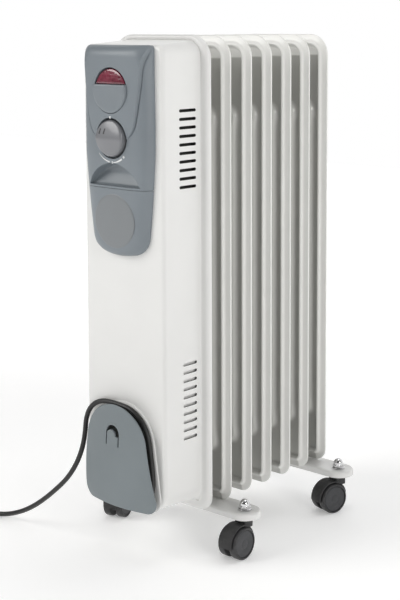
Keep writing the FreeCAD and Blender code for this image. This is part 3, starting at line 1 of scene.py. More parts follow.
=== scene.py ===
"""Oil filled radiator heater: finishes, pressed and moulded forms, mains cord and studio.

Forms are worked out in millimetres in the part's own frame: +Z up, the control panel facing -Y.
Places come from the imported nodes' boxes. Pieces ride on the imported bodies.
"""
import logging
import math
from dataclasses import dataclass
from enum import Enum
from typing import Any, Callable, Iterable, Mapping, Sequence, Union

import bmesh
import bpy
from mathutils import Matrix, Vector
from mathutils.geometry import tessellate_polygon


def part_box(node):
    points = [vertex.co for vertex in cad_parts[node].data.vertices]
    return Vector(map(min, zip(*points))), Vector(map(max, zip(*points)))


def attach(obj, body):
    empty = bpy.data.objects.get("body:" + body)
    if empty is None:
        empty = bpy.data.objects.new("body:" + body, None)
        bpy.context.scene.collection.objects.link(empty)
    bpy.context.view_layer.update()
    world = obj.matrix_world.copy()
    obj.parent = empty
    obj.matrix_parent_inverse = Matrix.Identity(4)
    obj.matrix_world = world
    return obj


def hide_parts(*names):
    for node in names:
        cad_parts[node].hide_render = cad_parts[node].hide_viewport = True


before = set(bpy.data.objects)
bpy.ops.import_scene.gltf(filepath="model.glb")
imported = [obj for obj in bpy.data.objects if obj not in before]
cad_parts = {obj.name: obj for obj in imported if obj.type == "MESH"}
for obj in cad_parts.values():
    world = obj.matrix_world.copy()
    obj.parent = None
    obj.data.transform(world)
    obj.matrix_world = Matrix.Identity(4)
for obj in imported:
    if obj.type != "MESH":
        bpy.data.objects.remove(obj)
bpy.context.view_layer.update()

MM = 0.001
LOG = logging.getLogger("heater")

CORNERS = ("front_left", "front_right", "rear_left", "rear_right")

# A revolved profile ends this close to its axis, and points this close are one, in millimetres.
AXIS = 0.01
WELD = 0.002

Flat = tuple[float, float]
Place = tuple[float, float, float]
Point = Sequence[float]
Colour = tuple[float, float, float]
Front = Callable[[float, float], float]


# ---------------------------------------------------------------- shader maths
class Value:
    """Number on a socket: an expression on values adds its Math nodes."""

    def __init__(self, graph: "Graph", socket: bpy.types.NodeSocket) -> None:
        """Wrap one output socket of a graph."""
        self.graph = graph
        self.socket = socket

    def math(self, operation: str, *operands: "Operand") -> "Value":
        """Add one Math node.

        Args:
            operation: The node's operation.
            operands: Values or numbers, in the order of the node's sockets.

        Returns:
            The node's result.
        """
        node = self.graph.node("ShaderNodeMath", {"operation": operation}, dict(enumerate(operands)))
        return Value(self.graph, node.outputs[0])

    def __add__(self, other: "Operand") -> "Value":
        """Sum."""
        return self.math("ADD", self, other)

    __radd__ = __add__

    def __sub__(self, other: "Operand") -> "Value":
        """Difference."""
        return self.math("SUBTRACT", self, other)

    def __rsub__(self, other: "Operand") -> "Value":
        """Difference from a number."""
        return self.math("SUBTRACT", other, self)

    def __mul__(self, other: "Operand") -> "Value":
        """Product."""
        return self.math("MULTIPLY", self, other)

    __rmul__ = __mul__

    def __pow__(self, power: "Operand") -> "Value":
        """Power."""
        return self.math("POWER", self, power)

    def __abs__(self) -> "Value":
        """Distance from nought."""
        return self.math("ABSOLUTE", self)

    def between(self, low: float, high: float) -> "Value":
        """Smooth step: 0 below low, 1 above high."""
        node = self.graph.node("ShaderNodeMapRange", {"interpolation_type": "SMOOTHSTEP"},
                               {"Value": self, "From Min": low, "From Max": high})
        return Value(self.graph, node.outputs[0])


Operand = Union[Value, float]


class Graph:
    """Node tree of one material."""

    def __init__(self, name: str) -> None:
        """Make an empty material of that name."""
        self.material = bpy.data.materials.new(name)
        self.material.use_nodes = True
        self.tree = self.material.node_tree
        self.tree.nodes.clear()
        self.place = self.node("ShaderNodeTexCoord").outputs["Object"]

    def node(self, kind: str, settings: Mapping[str, Any] = {},
             inputs: Mapping[Any, Any] = {}) -> bpy.types.Node:
        """Add a node.

        Args:
            kind: The node's type.
            settings: Its own properties, set before its sockets.
            inputs: Numbers, colours, values or sockets, by the name or number of each input.

        Returns:
            The new node.
        """
        node = self.tree.nodes.new(kind)
        for name, setting in settings.items():
            setattr(node, name, setting)
        for name, given in inputs.items():
            given = given.socket if isinstance(given, Value) else given
            if isinstance(given, bpy.types.NodeSocket):
                self.tree.links.new(given, node.inputs[name])
            else:
                node.inputs[name].default_value = given
        return node

    def noise(self, scale: float, detail: float = 2.0, stretch: Point = (1, 1, 1)) -> Value:
        """Noise on the piece's own coordinates.

        Args:
            scale: Lumps per metre.
            detail: Octaves.
            stretch: Factors that the coordinates are multiplied by.

        Returns:
            A value about 0.5.
        """
        moved = self.node("ShaderNodeMapping", {}, {"Vector": self.place, "Scale": stretch})
        inputs = {"Vector": moved.outputs[0], "Scale": scale, "Detail": detail}
        return Value(self, self.node("ShaderNodeTexNoise", {}, inputs).outputs[0])

    def position(self) -> tuple[Value, Value, Value]:
        """The piece's own X, Y and Z, in metres."""
        split = self.node("ShaderNodeSeparateXYZ", {}, {0: self.place})
        return tuple(Value(self, output) for output in split.outputs)

    def mix(self, share: Operand, first: Any, second: Any) -> bpy.types.NodeSocket:
        """Colour between two colours."""
        settings = {"data_type": "RGBA"}
        return self.node("ShaderNodeMix", settings, {0: share, 6: first, 7: second}).outputs[2]

    def bump(self, height: Value, depth: float, strength: float = 1.0) -> bpy.types.NodeSocket:
        """Normal of a surface raised by a height of up to a depth in metres."""
        inputs = {"Height": height, "Distance": depth, "Strength": strength}
        return self.node("ShaderNodeBump", {}, inputs).outputs[0]

    def surface(self, inputs: Mapping[str, Any]) -> bpy.types.Material:
        """Finish the material with one Principled shader."""
        shader = self.node("ShaderNodeBsdfPrincipled", {}, inputs)
        self.node("ShaderNodeOutputMaterial", {}, {"Surface": shader.outputs[0]})
        return self.material


def opaque(colour: Colour, factor: float = 1.0) -> tuple[float, float, float, float]:
    """Colour times a factor, with full alpha."""
    return (colour[0] * factor, colour[1] * factor, colour[2] * factor, 1.0)


def grey(level: float) -> tuple[float, float, float, float]:
    """Opaque grey."""
    return opaque((level, level, level))


# ---------------------------------------------------------------- finishes
TONE_SPAN: Flat = (0.3, 0.7)
DUST_COLOUR: Colour = (0.30, 0.29, 0.27)
DUST_SCALE = 190.0
DUST_SPAN: Flat = (0.5, 0.85)
COAT_ROUGHNESS = 0.12


@dataclass(frozen=True)
class Finish:
    """Painted, moulded or metal finish: an even colour with small changes of tone, gloss and height."""

    name: str
    colour: Colour
    roughness: float
    metallic: float = 0.0
    coat: float = 0.0
    tone_change: float = 0.03
    tone_scale: float = 14.0
    gloss_change: float = 0.06
    gloss_scale: float = 40.0
    relief: float = 0.0
    relief_scale: float = 500.0
    relief_stretch: Place = (1.0, 1.0, 1.0)
    dust: float = 0.0

    def material(self) -> bpy.types.Material:
        """The finish as a material, made once."""
        name = self.name + "_finish"
        made = bpy.data.materials.get(name)
        return made or self.build(Graph(name))

    def build(self, graph: Graph) -> bpy.types.Material:
        """Build the nodes.

        Args:
            graph: The empty material.

        Returns:
            The finished material.
        """
        tone = graph.noise(self.tone_scale, 3.0).between(*TONE_SPAN)
        dark, light = (opaque(self.colour, 1 + way * self.tone_change) for way in (-1, 1))
        colour = self.shaded(graph, graph.mix(tone, dark, light))
        if self.dust:
            settled = graph.noise(DUST_SCALE, 6.0).between(*DUST_SPAN) * self.dust
            colour = graph.mix(settled, colour, opaque(DUST_COLOUR))
        smudge = graph.noise(self.gloss_scale, 4.0)
        inputs = {
            "Base Color": colour,
            "Roughness": (smudge - 0.5) * (2 * self.gloss_change) + self.roughness,
            "Metallic": self.metallic,
            "Coat Weight": self.coat,
            "Coat Roughness": COAT_ROUGHNESS,
        }
        if self.relief:
            skin = graph.noise(self.relief_scale, 2.0, self.relief_stretch)
            inputs["Normal"] = graph.bump(skin, self.relief * MM)
        return graph.surface(inputs)

    def shaded(self, graph: Graph, colour: bpy.types.NodeSocket) -> bpy.types.NodeSocket:
        """Colour with whatever changes over the piece."""
        return colour


@dataclass(frozen=True)
class Pressed(Finish):
    """Enamel on a fin, with painted shade deeper on the web and the oil channels than on the rim: the shade between
    fins.
    """

    # These two colours are painted shade for the gaps between the fins, not tones of the enamel.
    web: Colour = (0.52, 0.52, 0.495)
    channel_shade: Colour = (0.58, 0.58, 0.555)
    web_edge: Flat = (0.0605, 0.0645)
    web_head: Flat = (0.6065, 0.6105)
    web_depth: Flat = (0.0012, 0.0052)

    def shaded(self, graph: Graph, colour: bpy.types.NodeSocket) -> bpy.types.NodeSocket:
        """Mix painted shade onto the web inside the rim, and lighter painted shade onto the channels where they
        stand out.
        """
        across, depth, height = graph.position()
        outside = abs(across).between(*self.web_edge) + height.between(*self.web_head)
        inside = graph.mix(abs(depth).between(*self.web_depth), opaque(self.web), opaque(self.channel_shade))
        return graph.mix(outside.between(0.0, 1.0), inside, colour)


@dataclass(frozen=True)
class Lens(Finish):
    """Dark red translucent plastic with a moulded pattern of small facets behind its skin, and painted light: a
    lighter red glow in patches and on the facets.
    """

    glow: Colour = (0.185, 0.022, 0.045)
    facet_scale: float = 260.0
    facet_span: Flat = (0.1, 0.8)
    facet_share: float = 0.35
    facet_glow: float = 1.5
    facet_gloss: float = 0.1
    cloud_scale: float = 70.0
    cloud_span: Flat = (0.35, 0.7)
    skin_roughness: float = 0.03

    def build(self, graph: Graph) -> bpy.types.Material:
        """Build the nodes of the lens, as for any finish."""
        cells = graph.node("ShaderNodeTexVoronoi", {}, {"Vector": graph.place, "Scale": self.facet_scale})
        facets = Value(graph, cells.outputs["Distance"]).between(*self.facet_span)
        # Painted light: the lighter glow colour in patches and on the facets stands for light seen through the
        # lens.
        depth = graph.noise(self.cloud_scale, 3.0).between(*self.cloud_span)
        colour = graph.mix(depth, opaque(self.colour), opaque(self.glow))
        colour = graph.mix(facets * self.facet_share, colour, opaque(self.glow, self.facet_glow))
        return graph.surface({
            "Base Color": colour, "Roughness": facets * self.facet_gloss + self.roughness, "Coat Weight": 1.0,
            "Coat Roughness": self.skin_roughness, "Normal": graph.bump(facets, self.relief * MM)})


FIN_ENAMEL = Pressed("fin_enamel", (0.86, 0.86, 0.835), 0.33, coat=0.35, relief=0.012, relief_scale=420.0,
                    tone_change=0.012, gloss_change=0.05)
COVER_ENAMEL = Finish("cover_enamel", (0.80, 0.80, 0.787), 0.36, coat=0.3, relief=0.010, relief_scale=520.0,
                      tone_change=0.010, gloss_change=0.05)
# Near black painted shade for the insides that the vents look into, which lie in deep shade.
PAINTED_INSIDE_SHADE = Finish("painted_inside_shade", (0.05, 0.05, 0.048), 0.8, tone_change=0.1)
PANEL_GREY = Finish("panel_grey", (0.198, 0.226, 0.250), 0.40, relief=0.018, relief_scale=2300.0,
                    tone_change=0.03, gloss_change=0.05)
KEY_GREY = Finish("key_grey", (0.198, 0.224, 0.246), 0.38, relief=0.012, relief_scale=2300.0, tone_change=0.03)
KNOB_SILVER = Finish("knob_silver", (0.185, 0.19, 0.204), 0.38, metallic=0.1, coat=0.4, relief=0.006,
                     relief_scale=2600.0, tone_change=0.02)
BADGE_GREY = Finish("badge_grey", (0.205, 0.22, 0.232), 0.36, relief=0.010, relief_scale=2600.0, tone_change=0.02)
WRAP_GREY = Finish("wrap_grey", (0.195, 0.225, 0.24), 0.5, relief=0.02, relief_scale=1900.0, tone_change=0.04)
WRAP_WHITE = Finish("wrap_white", (0.80, 0.80, 0.79), 0.45, relief=0.012, relief_scale=1500.0, tone_change=0.015)
RED_LENS = Lens("lens_maroon", (0.10, 0.008, 0.02), 0.16, relief=0.12)
LAMP_GLASS = Finish("lamp_glass", (0.9, 0.45, 0.3), 0.15, coat=1.0)
MARK_WHITE = Finish("mark_white", (0.72, 0.73, 0.73), 0.5, tone_change=0.05)
MARK_DARK = Finish("mark_dark", (0.03, 0.03, 0.033), 0.5, tone_change=0.1)
BLACK_PLASTIC = Finish("black_plastic", (0.018, 0.018, 0.019), 0.34, relief=0.02, relief_scale=1400.0,
                       tone_change=0.15, gloss_change=0.1)
CASTER_BLACK = Finish("caster_black", (0.026, 0.026, 0.027), 0.55, relief=0.02, relief_scale=1500.0,
                      tone_change=0.12, gloss_change=0.08, dust=0.10)
WHEEL_BLACK = Finish("wheel_black", (0.030, 0.030, 0.032), 0.42, relief=0.025, relief_scale=1500.0,
                     tone_change=0.12, gloss_change=0.08, dust=0.12)
CORD_BLACK = Finish("cord_black", (0.020, 0.020, 0.020), 0.44, relief=0.02, relief_scale=1600.0,
                    tone_change=0.15, gloss_change=0.08, dust=0.06)
ZINC_STEEL = Finish("zinc_steel", (0.58, 0.59, 0.60), 0.36, metallic=1.0, relief=0.01, relief_scale=120.0,
                    relief_stretch=(1.0, 1.0, 12.0), tone_change=0.08, gloss_change=0.12, gloss_scale=160.0)
SHEATH_STEEL = Finish("sheath_steel", (0.40, 0.40, 0.41), 0.45, metallic=1.0, tone_change=0.1)
BRIGHT_CHROME = Finish("bright_chrome", (0.72, 0.72, 0.73), 0.09, metallic=1.0, tone_change=0.02,
                       gloss_change=0.03)
PIN_BRASS = Finish("pin_brass", (0.72, 0.56, 0.27), 0.22, metallic=1.0, tone_change=0.06, gloss_change=0.08)
WHEEL_DISC = Finish("wheel_disc", (0.036, 0.037, 0.041), 0.42, relief=0.02, relief_scale=1500.0,
                    tone_change=0.08, gloss_change=0.08, dust=0.08)
SEAL_RUBBER = Finish("seal_rubber", (0.03, 0.03, 0.03), 0.7, tone_change=0.1)
PHENOLIC = Finish("phenolic_dark", (0.07, 0.05, 0.04), 0.5, tone_change=0.1)


# ---------------------------------------------------------------- forms
@dataclass(frozen=True)
class Extent:
    """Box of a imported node, in millimetres."""

    low: Place
    high: Place

    @classmethod
    def of(cls, node: str) -> "Extent":
        """Box of a node at rest."""
        low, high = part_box(node)
        return cls(tuple(v / MM for v in low), tuple(v / MM for v in high))

    def middle(self, axis: int) -> float:
        """Middle along one axis."""
        return (self.low[axis] + self.high[axis]) / 2

    def centre(self) -> Vector:
        """Middle along all axes."""
        return Vector([self.middle(axis) for axis in range(3)])


def clamp(number: float) -> float:
    """Number kept between 0 and 1."""
    return min(max(number, 0.0), 1.0)


def fade(number: float, low: float, high: float) -> float:
    """Smooth step from 0 at low to 1 at high."""
    share = clamp((number - low) / (high - low))
    return share * share * (3 - 2 * share)


def chord(radius: float, away: float) -> float:
    """Half the width of a circle at a distance from its centre."""
    return math.sqrt(max(radius ** 2 - away ** 2, 0))


def quarter(edge: float, reach: float) -> float:
    """Fall of a rounded edge, from 1 at the edge to 0 where its reach ends."""
    share = clamp(1 - edge / reach)
    return 1 - math.sqrt(max(1 - share * share, 0))


def polar(radius: float, angle: float) -> Flat:
    """Place at a radius and an angle in radians."""
    return (radius * math.cos(angle), radius * math.sin(angle))


def circle(count: int) -> list[float]:
    """Angles of a full turn, in radians."""
    return [2 * math.pi * index / count for index in range(count)]


def through(number: float, stops: Sequence[Flat]) -> float:
    """Value at a number along a smooth line through (number, value) stops in rising order."""
    if number <= stops[0][0]:
        return stops[0][1]
    for index, ((a, va), (b, vb)) in enumerate(zip(stops, stops[1:])):
        if number <= b:
            before = stops[index - 1] if index else stops[0]
            after = stops[index + 2] if index + 2 < len(stops) else stops[-1]
            slope_a = (vb - before[1]) / (b - before[0])
            slope_b = (after[1] - va) / (after[0] - a)
            t, span = (number - a) / (b - a), b - a
            return ((2 * t**3 - 3 * t**2 + 1) * va + (t**3 - 2 * t**2 + t) * span * slope_a
                    + (3 * t**2 - 2 * t**3) * vb + (t**3 - t**2) * span * slope_b)
    return stops[-1][1]


def spread(low: float, high: float, count: int) -> list[float]:
    """Evenly spaced numbers from low to high."""
    return [low + (high - low) * index / (count - 1) for index in range(count)]


def crowded(low: float, high: float, foot: Sequence[float], head: Sequence[float], count: int) -> list[float]:
    """Levels that lie close together at both ends.

    Args:
        low: Lowest level.
        high: Highest level.
        foot: Rises of the lowest levels, from 0 up to where the even ones start.
        head: Drops of the highest levels, from where the even ones end down to 0.
        count: Number of even levels.

    Returns:
        The levels, upwards.
    """
    return ([low + step for step in foot[:-1]] + spread(low + foot[-1], high - head[0], count)
            + [high - step for step in head[1:]])


def mirrored(shares: Sequence[float]) -> list[float]:
    """Numbers from -1 to 1 out of numbers from 0 to 1."""
    return [-share for share in reversed(shares[1:])] + list(shares)


def corner(centre: Flat, radius: float, start: float, sweep: float = 90.0, steps: int = 8) -> list[Flat]:
    """Arc of an outline.

    Args:
        centre: Its centre.
        radius: Its radius.
        start: Its first angle, in degrees.
        sweep: How far it turns, in degrees.
        steps: Its number of chords.

    Returns:
        Its points.
    """
    turned = [polar(radius, math.radians(start + sweep * step / steps)) for step in range(steps + 1)]
    return [(centre[0] + x, centre[1] + z) for x, z in turned]


def rounded(half: float, low: float, high: float, low_radius: float, high_radius: float,
            steps: int = 8, rises: Sequence[float] = ()) -> list[Flat]:
    """Upright rectangle with round corners, counterclockwise from the right end of its foot.

    Args:
        half: Half its width.
        low: Its foot.
        high: Its top.
        low_radius: Radius of the foot's corners.
        high_radius: Radius of the top's corners.
        steps: Chords in each corner.
        rises: Further points up each side, as shares of the straight part.

    Returns:
        Its points, as many for any size.
    """
    side = [low + low_radius + (high - high_radius - low - low_radius) * share for share in rises]
    right = (corner((half - low_radius, low + low_radius), low_radius, -90, steps=steps)
             + [(half, z) for z in side]
             + corner((half - high_radius, high - high_radius), high_radius, 0, steps=steps))
    return right + [(-x, z) for x, z in reversed(right)]


def stadium(half_length: float, radius: float, steps: int = 12) -> list[Flat]:
    """Long hole's outline along the first axis, counterclockwise."""
    reach = half_length - radius
    return corner((reach, 0), radius, -90, 180, steps) + corner((-reach, 0), radius, 90, 180, steps)


def border(rows: Sequence[Sequence[int]]) -> list[int]:
    """Edge of a sheet of rows, counterclockwise from the left end of the first."""
    inner = rows[1:-1]
    return ([*rows[0]] + [row[-1] for row in inner] + [*reversed(rows[-1])] + [row[0] for row in reversed(inner)])


def linked(name: str, data: Any) -> bpy.types.Object:
    """New object on some data, in the scene."""
    made = bpy.data.objects.new(name, data)
    bpy.context.scene.collection.objects.link(made)
    return made


class Skin:
    """Mesh of one piece while it is made, from rings of points in millimetres."""

    def __init__(self) -> None:
        """Start with no points."""
        self.points: list[Vector] = []
        self.faces: list[Sequence[int]] = []
        self.shades: list[int] = []

    def ring(self, points: Iterable[Point]) -> list[int]:
        """Add points and return their numbers."""
        start = len(self.points)
        self.points += [Vector(point) for point in points]
        return list(range(start, len(self.points)))

    def face(self, corners: Sequence[int], shade: int = 0) -> None:
        """Add one face that takes the finish of that number."""
        self.faces.append(corners)
        self.shades.append(shade)

    def bridge(self, first: Sequence[int], second: Sequence[int], closed: bool = True, shade: int = 0) -> None:
        """Join two rings of as many points with a band of faces."""
        count = len(first)
        for here in range(count if closed else count - 1):
            following = (here + 1) % count
            self.face([first[here], first[following], second[following], second[here]], shade)

    def loft(self, rings: Iterable[Iterable[Point]], closed: bool = True, shade: int = 0) -> list[list[int]]:
        """Add rings and join each to the next.

        Args:
            rings: Rings of as many points each.
            closed: Whether a ring's last point joins its first.
            shade: Number of the finish.

        Returns:
            The rings' point numbers.
        """
        laid = [self.ring(ring) for ring in rings]
        for first, second in zip(laid, laid[1:]):
            self.bridge(first, second, closed, shade)
        return laid

    def fill(self, *rings: Sequence[int], shade: int = 0) -> None:
        """Fill a flat ring with triangles, leaving any further rings as holes."""
        numbers = [number for ring in rings for number in ring]
        for corners in tessellate_polygon([[self.points[number] for number in ring] for ring in rings]):
            self.face([numbers[index] for index in corners], shade)

    def capped(self, rings: Iterable[Iterable[Point]]) -> None:
        """Loft closed rings and fill the first and the last."""
        laid = self.loft(rings)
        self.fill(laid[0])
        self.fill(laid[-1])

    def revolve(self, profile: Sequence[Flat], segments: int = 48, shade: int = 0) -> None:
        """Add the surface that a profile of (radius, height) sweeps about Z."""
        self.loft([[(*polar(r, a), z) for a in circle(segments)] for r, z in profile], shade=shade)

    def join(self, other: "Skin") -> None:
        """Add another skin's points and faces."""
        start = len(self.points)
        self.points += other.points
        self.shades += other.shades
        self.faces += [[number + start for number in face] for face in other.faces]

    def moved(self, matrix: Matrix) -> "Skin":
        """Turn and move every point, and return the skin."""
        self.points = [matrix @ point for point in self.points]
        return self

    def piece(self, name: str, *finishes: Finish, sharp: float = 32.0) -> bpy.types.Object:
        """Make the piece.

        Args:
            name: Its name.
            finishes: Its finishes, by number.
            sharp: Angle in degrees above which an edge isn't shaded smooth.

        Returns:
            The object, in metres, at the frame's origin.
        """
        mesh = bpy.data.meshes.new(name)
        mesh.from_pydata([point * MM for point in self.points], [], self.faces)
        mesh.polygons.foreach_set("material_index", self.shades)
        piece = linked(name, mesh)
        for finish in finishes:
            mesh.materials.append(finish.material())
        clean(mesh, sharp)
        return piece


def clean(mesh: bpy.types.Mesh, sharp: float) -> None:
    """Merge doubled points, turn the faces outwards and mark the sharp edges."""
    work = bmesh.new()
    work.from_mesh(mesh)
    bmesh.ops.remove_doubles(work, verts=work.verts, dist=MM * WELD)
    bmesh.ops.recalc_face_normals(work, faces=work.faces)
    for face in work.faces:
        face.smooth = True
    for edge in work.edges:
        edge.smooth = edge.calc_face_angle(0.0) < math.radians(sharp)
    work.to_mesh(mesh)
    work.free()


def applied(piece: bpy.types.Object, sharp: float) -> None:
    """Apply a piece's modifiers to its mesh and mark its sharp edges again."""
    graph = bpy.context.evaluated_depsgraph_get()
    mesh = bpy.data.meshes.new_from_object(piece.evaluated_get(graph))
    piece.modifiers.clear()
    piece.data = mesh
    clean(mesh, sharp)


def thicken(piece: bpy.types.Object, wall: float, inner: int = 0) -> None:
    """Give an open skin a wall on its inner side, faced with the finish that comes inner places later."""
    modifier = piece.modifiers.new("wall", "SOLIDIFY")
    modifier.thickness = wall * MM
    modifier.offset = -1.0
    modifier.use_even_offset = True
    modifier.material_offset = inner
    applied(piece, 40)


def carve(piece: bpy.types.Object, tools: Sequence[bpy.types.Object], sharp: float) -> bpy.types.Object:
    """Cut closed tools out of a closed piece, and remove the tools."""
    for tool in tools:
        modifier = piece.modifiers.new("cut", "BOOLEAN")
        modifier.operation = "DIFFERENCE"
        modifier.solver = "EXACT"
        modifier.object = tool
    applied(piece, sharp)
    for tool in tools:
        bpy.data.objects.remove(tool)
    return piece


def fit(piece: bpy.types.Object, body: str, slot: str, *nodes: str) -> bpy.types.Object:
    """Put a piece on a body, and hide the nodes that it stands for."""
    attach(piece, body)
    if nodes:
        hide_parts(*nodes)
    LOG.info("%s rides on %s, %d faces", piece.name, body,
             len(piece.data.polygons) if piece.type == "MESH" else 0)
    return piece


class Shield:
    """Moulded face over an upright outline: level rows, each as wide as the outline is there."""

    def __init__(self, levels: Sequence[float], stations: Callable[[float], Sequence[float]],
                 front: Front) -> None:
        """Describe the face.

        Args:
            levels: Heights of its rows, upwards.
            stations: Places across a row at a height, as many for every row.
            front: Depth of the face at a place and height.
        """
        self.levels = levels
        self.stations = stations
        self.front = front

    def lay(self, skin: Skin) -> list[int]:
        """Add the face to a skin and return its border, counterclockwise from the foot's left end."""
        return border(skin.loft([[(x, self.front(x, z), z) for x in self.stations(z)] for z in self.levels],
                                closed=False))


# ---------------------------------------------------------------- fins
@dataclass(frozen=True)
class FinSizes:
    """Pressed steel fin, made of two shells welded at the rim."""

    foot_radius: float = 17.0
    head_radius: float = 28.0
    rim: tuple[Flat, ...] = (
        (0.0, 0.0), (0.12, 0.6), (0.5, 1.1), (1.1, 1.3), (2.0, 1.35), (3.6, 1.75), (5.2, 2.2), (6.6, 2.45),
        (7.8, 3.0), (8.8, 4.2), (9.8, 5.3), (11.0, 5.8), (12.3, 5.4), (13.5, 4.1), (14.5, 2.2), (15.4, 0.9),
        (17.0, 0.5))
    web_inset: float = 17.7
    web_foot: float = 17.6
    web_head: float = 30.8
    lip: float = 0.5
    channel_depth: float = 7.0
    channel_easing: float = 6.0
    border_easing: float = 4.0
    melt: float = 8.0
    column_x: float = 41.5
    column_half: float = 14.5
    column_foot: float = 73.7
    column_head: float = 102.3
    header_foot: float = 39.0
    header_head: float = 56.0
    boss_radius: float = 24.0
    columns: int = 71
    foot_rows: tuple[float, int] = (77.0, 41)
    middle_rows: int = 38
    head_rows: tuple[float, int] = (85.0, 45)
    row_gap: float = 8.0


class Fins:
    """The seven fins, each a copy of one pressing."""

    def __init__(self, sizes: FinSizes = FinSizes()) -> None:
        """Work out the pressing from the first fin's box."""
        self.sizes = sizes
        self.box = Extent.of("fin_1")
        self.low, self.high = self.box.low[2], self.box.high[2]

    def channel(self, x: float, z: float) -> float:
        """Height of the oil channels at a place on the web."""
        s = self.sizes
        foot, head = self.low + s.header_foot, self.high - s.header_head
        low, high = self.low + s.column_foot, self.high - s.column_head
        runs = [((0, foot), (0, head))]
        runs += [((side, low), (side, high)) for side in (-s.column_x, s.column_x)]
        runs += [((-s.column_x, level), (s.column_x, level)) for level in (low, high)]
        reaches = [s.column_half - self.away(x, z, start, end) for start, end in runs]
        reaches += [s.boss_radius - math.hypot(x, z - level) for level in (foot, head)]
        total = reaches[0]
        for reach in reaches[1:]:
            close = max(s.melt - abs(total - reach), 0) / s.melt
            total = max(total, reach) + close * close * s.melt / 4
        edge = min(self.box.high[0] - s.web_inset - abs(x), z - self.low - s.web_foot, self.high - s.web_head - z)
        return s.lip + s.channel_depth * fade(total, 0, s.channel_easing) * fade(edge, 0, s.border_easing)

    @staticmethod
    def away(x: float, z: float, start: Flat, end: Flat) -> float:
        """Distance from a place to a straight run."""
        run = (end[0] - start[0], end[1] - start[1])
        share = clamp(((x - start[0]) * run[0] + (z - start[1]) * run[1]) / (run[0] ** 2 + run[1] ** 2))
        return math.hypot(x - start[0] - run[0] * share, z - start[1] - run[1] * share)

    def outline(self, inset: float) -> list[Flat]:
        """Outline of the fin drawn in by an inset."""
        s = self.sizes
        return rounded(self.box.high[0] - inset, self.low + inset, self.high - inset,
                       max(s.foot_radius - inset, 1), max(s.head_radius - inset, 1))

    def pressing(self) -> Skin:
        """One fin about Y = 0."""
        s = self.sizes
        skin = Skin()
        xs = spread(s.web_inset - self.box.high[0], self.box.high[0] - s.web_inset, s.columns)
        low, high = self.low + s.web_foot, self.high - s.web_head
        foot, head = low + s.foot_rows[0], high - s.head_rows[0]
        zs = (spread(low, foot, s.foot_rows[1]) + spread(foot + s.row_gap, head - s.row_gap, s.middle_rows)
              + spread(head, high, s.head_rows[1]))
        heights = [[self.channel(x, z) for x in xs] for z in zs]
        for side in (-1, 1):
            rings = skin.loft([[(x, side * height, z) for x, z in self.outline(inset)] for inset, height in s.rim])
            rows = skin.loft([[(x, side * height, z) for x, height in zip(xs, row)] for z, row in zip(zs, heights)],
                             closed=False)
            skin.fill(rings[-1], border(rows))
        return skin

    def build(self) -> None:
        """Make the fins."""
        first = self.pressing().piece("enamelled_fin_1", FIN_ENAMEL, sharp=50)
        for number in range(1, 8):
            node = "fin_%d" % number
            piece = first if number == 1 else linked("enamelled_" + node, first.data.copy())
            piece.location = (0, Extent.of(node).middle(1) * MM, 0)
            fit(piece, "heater", "fin_enamel", node)


# ---------------------------------------------------------------- cover
@dataclass(frozen=True)
class CoverSizes:
    """Pressed cover of the controls: a box with a flange that laps the first fin."""

    front: Flat = (-146.4, 66.2)
    front_span: Flat = (70.0, 626.0)
    rear: Flat = (-84.7, 67.5)
    rear_span: Flat = (66.0, 631.0)
    corner_radius: float = 20.0
    head_radius: float = 11.0
    edge_radius: float = 5.5
    flange_half: float = 79.0
    flange_span: Flat = (54.0, 637.6)
    flange_head: float = 29.8
    flange_foot: float = 18.8
    lip: tuple[Flat, ...] = (
        (0.0, -84.7), (0.02, -83.8), (0.05, -83.15), (0.11, -82.7), (0.2, -82.5), (0.34, -82.42), (0.48, -82.4),
        (0.6, -82.3), (0.72, -81.9), (0.83, -81.1), (0.92, -79.9), (0.975, -78.5), (1.0, -77.0), (1.0, -75.8))
    corner_steps: int = 10
    side_shares: tuple[float, ...] = (0.25, 0.5, 0.75, 0.9)
    groove: float = 1.8
    groove_share: float = 0.07
    groove_width: float = 0.05
    groove_span: Flat = (560.0, 615.0)
    sheet: float = 1.4
    slot_pitch: float = 10.08
    slot_height: float = 3.7
    slot_end: float = -90.5
    slot_rows: tuple[tuple[float, float], ...] = ((458.0, 28.6), (153.0, 23.6))
    slot_count: int = 10
    slot_cut: Flat = (50.0, 90.0)
    tray_back: float = -128.0
    tray_bend: float = 6.0
    tray_lips: tuple[Flat, ...] = ((0.7, -90.0), (0.9, -86.0))
    tray_sheet: float = 1.0


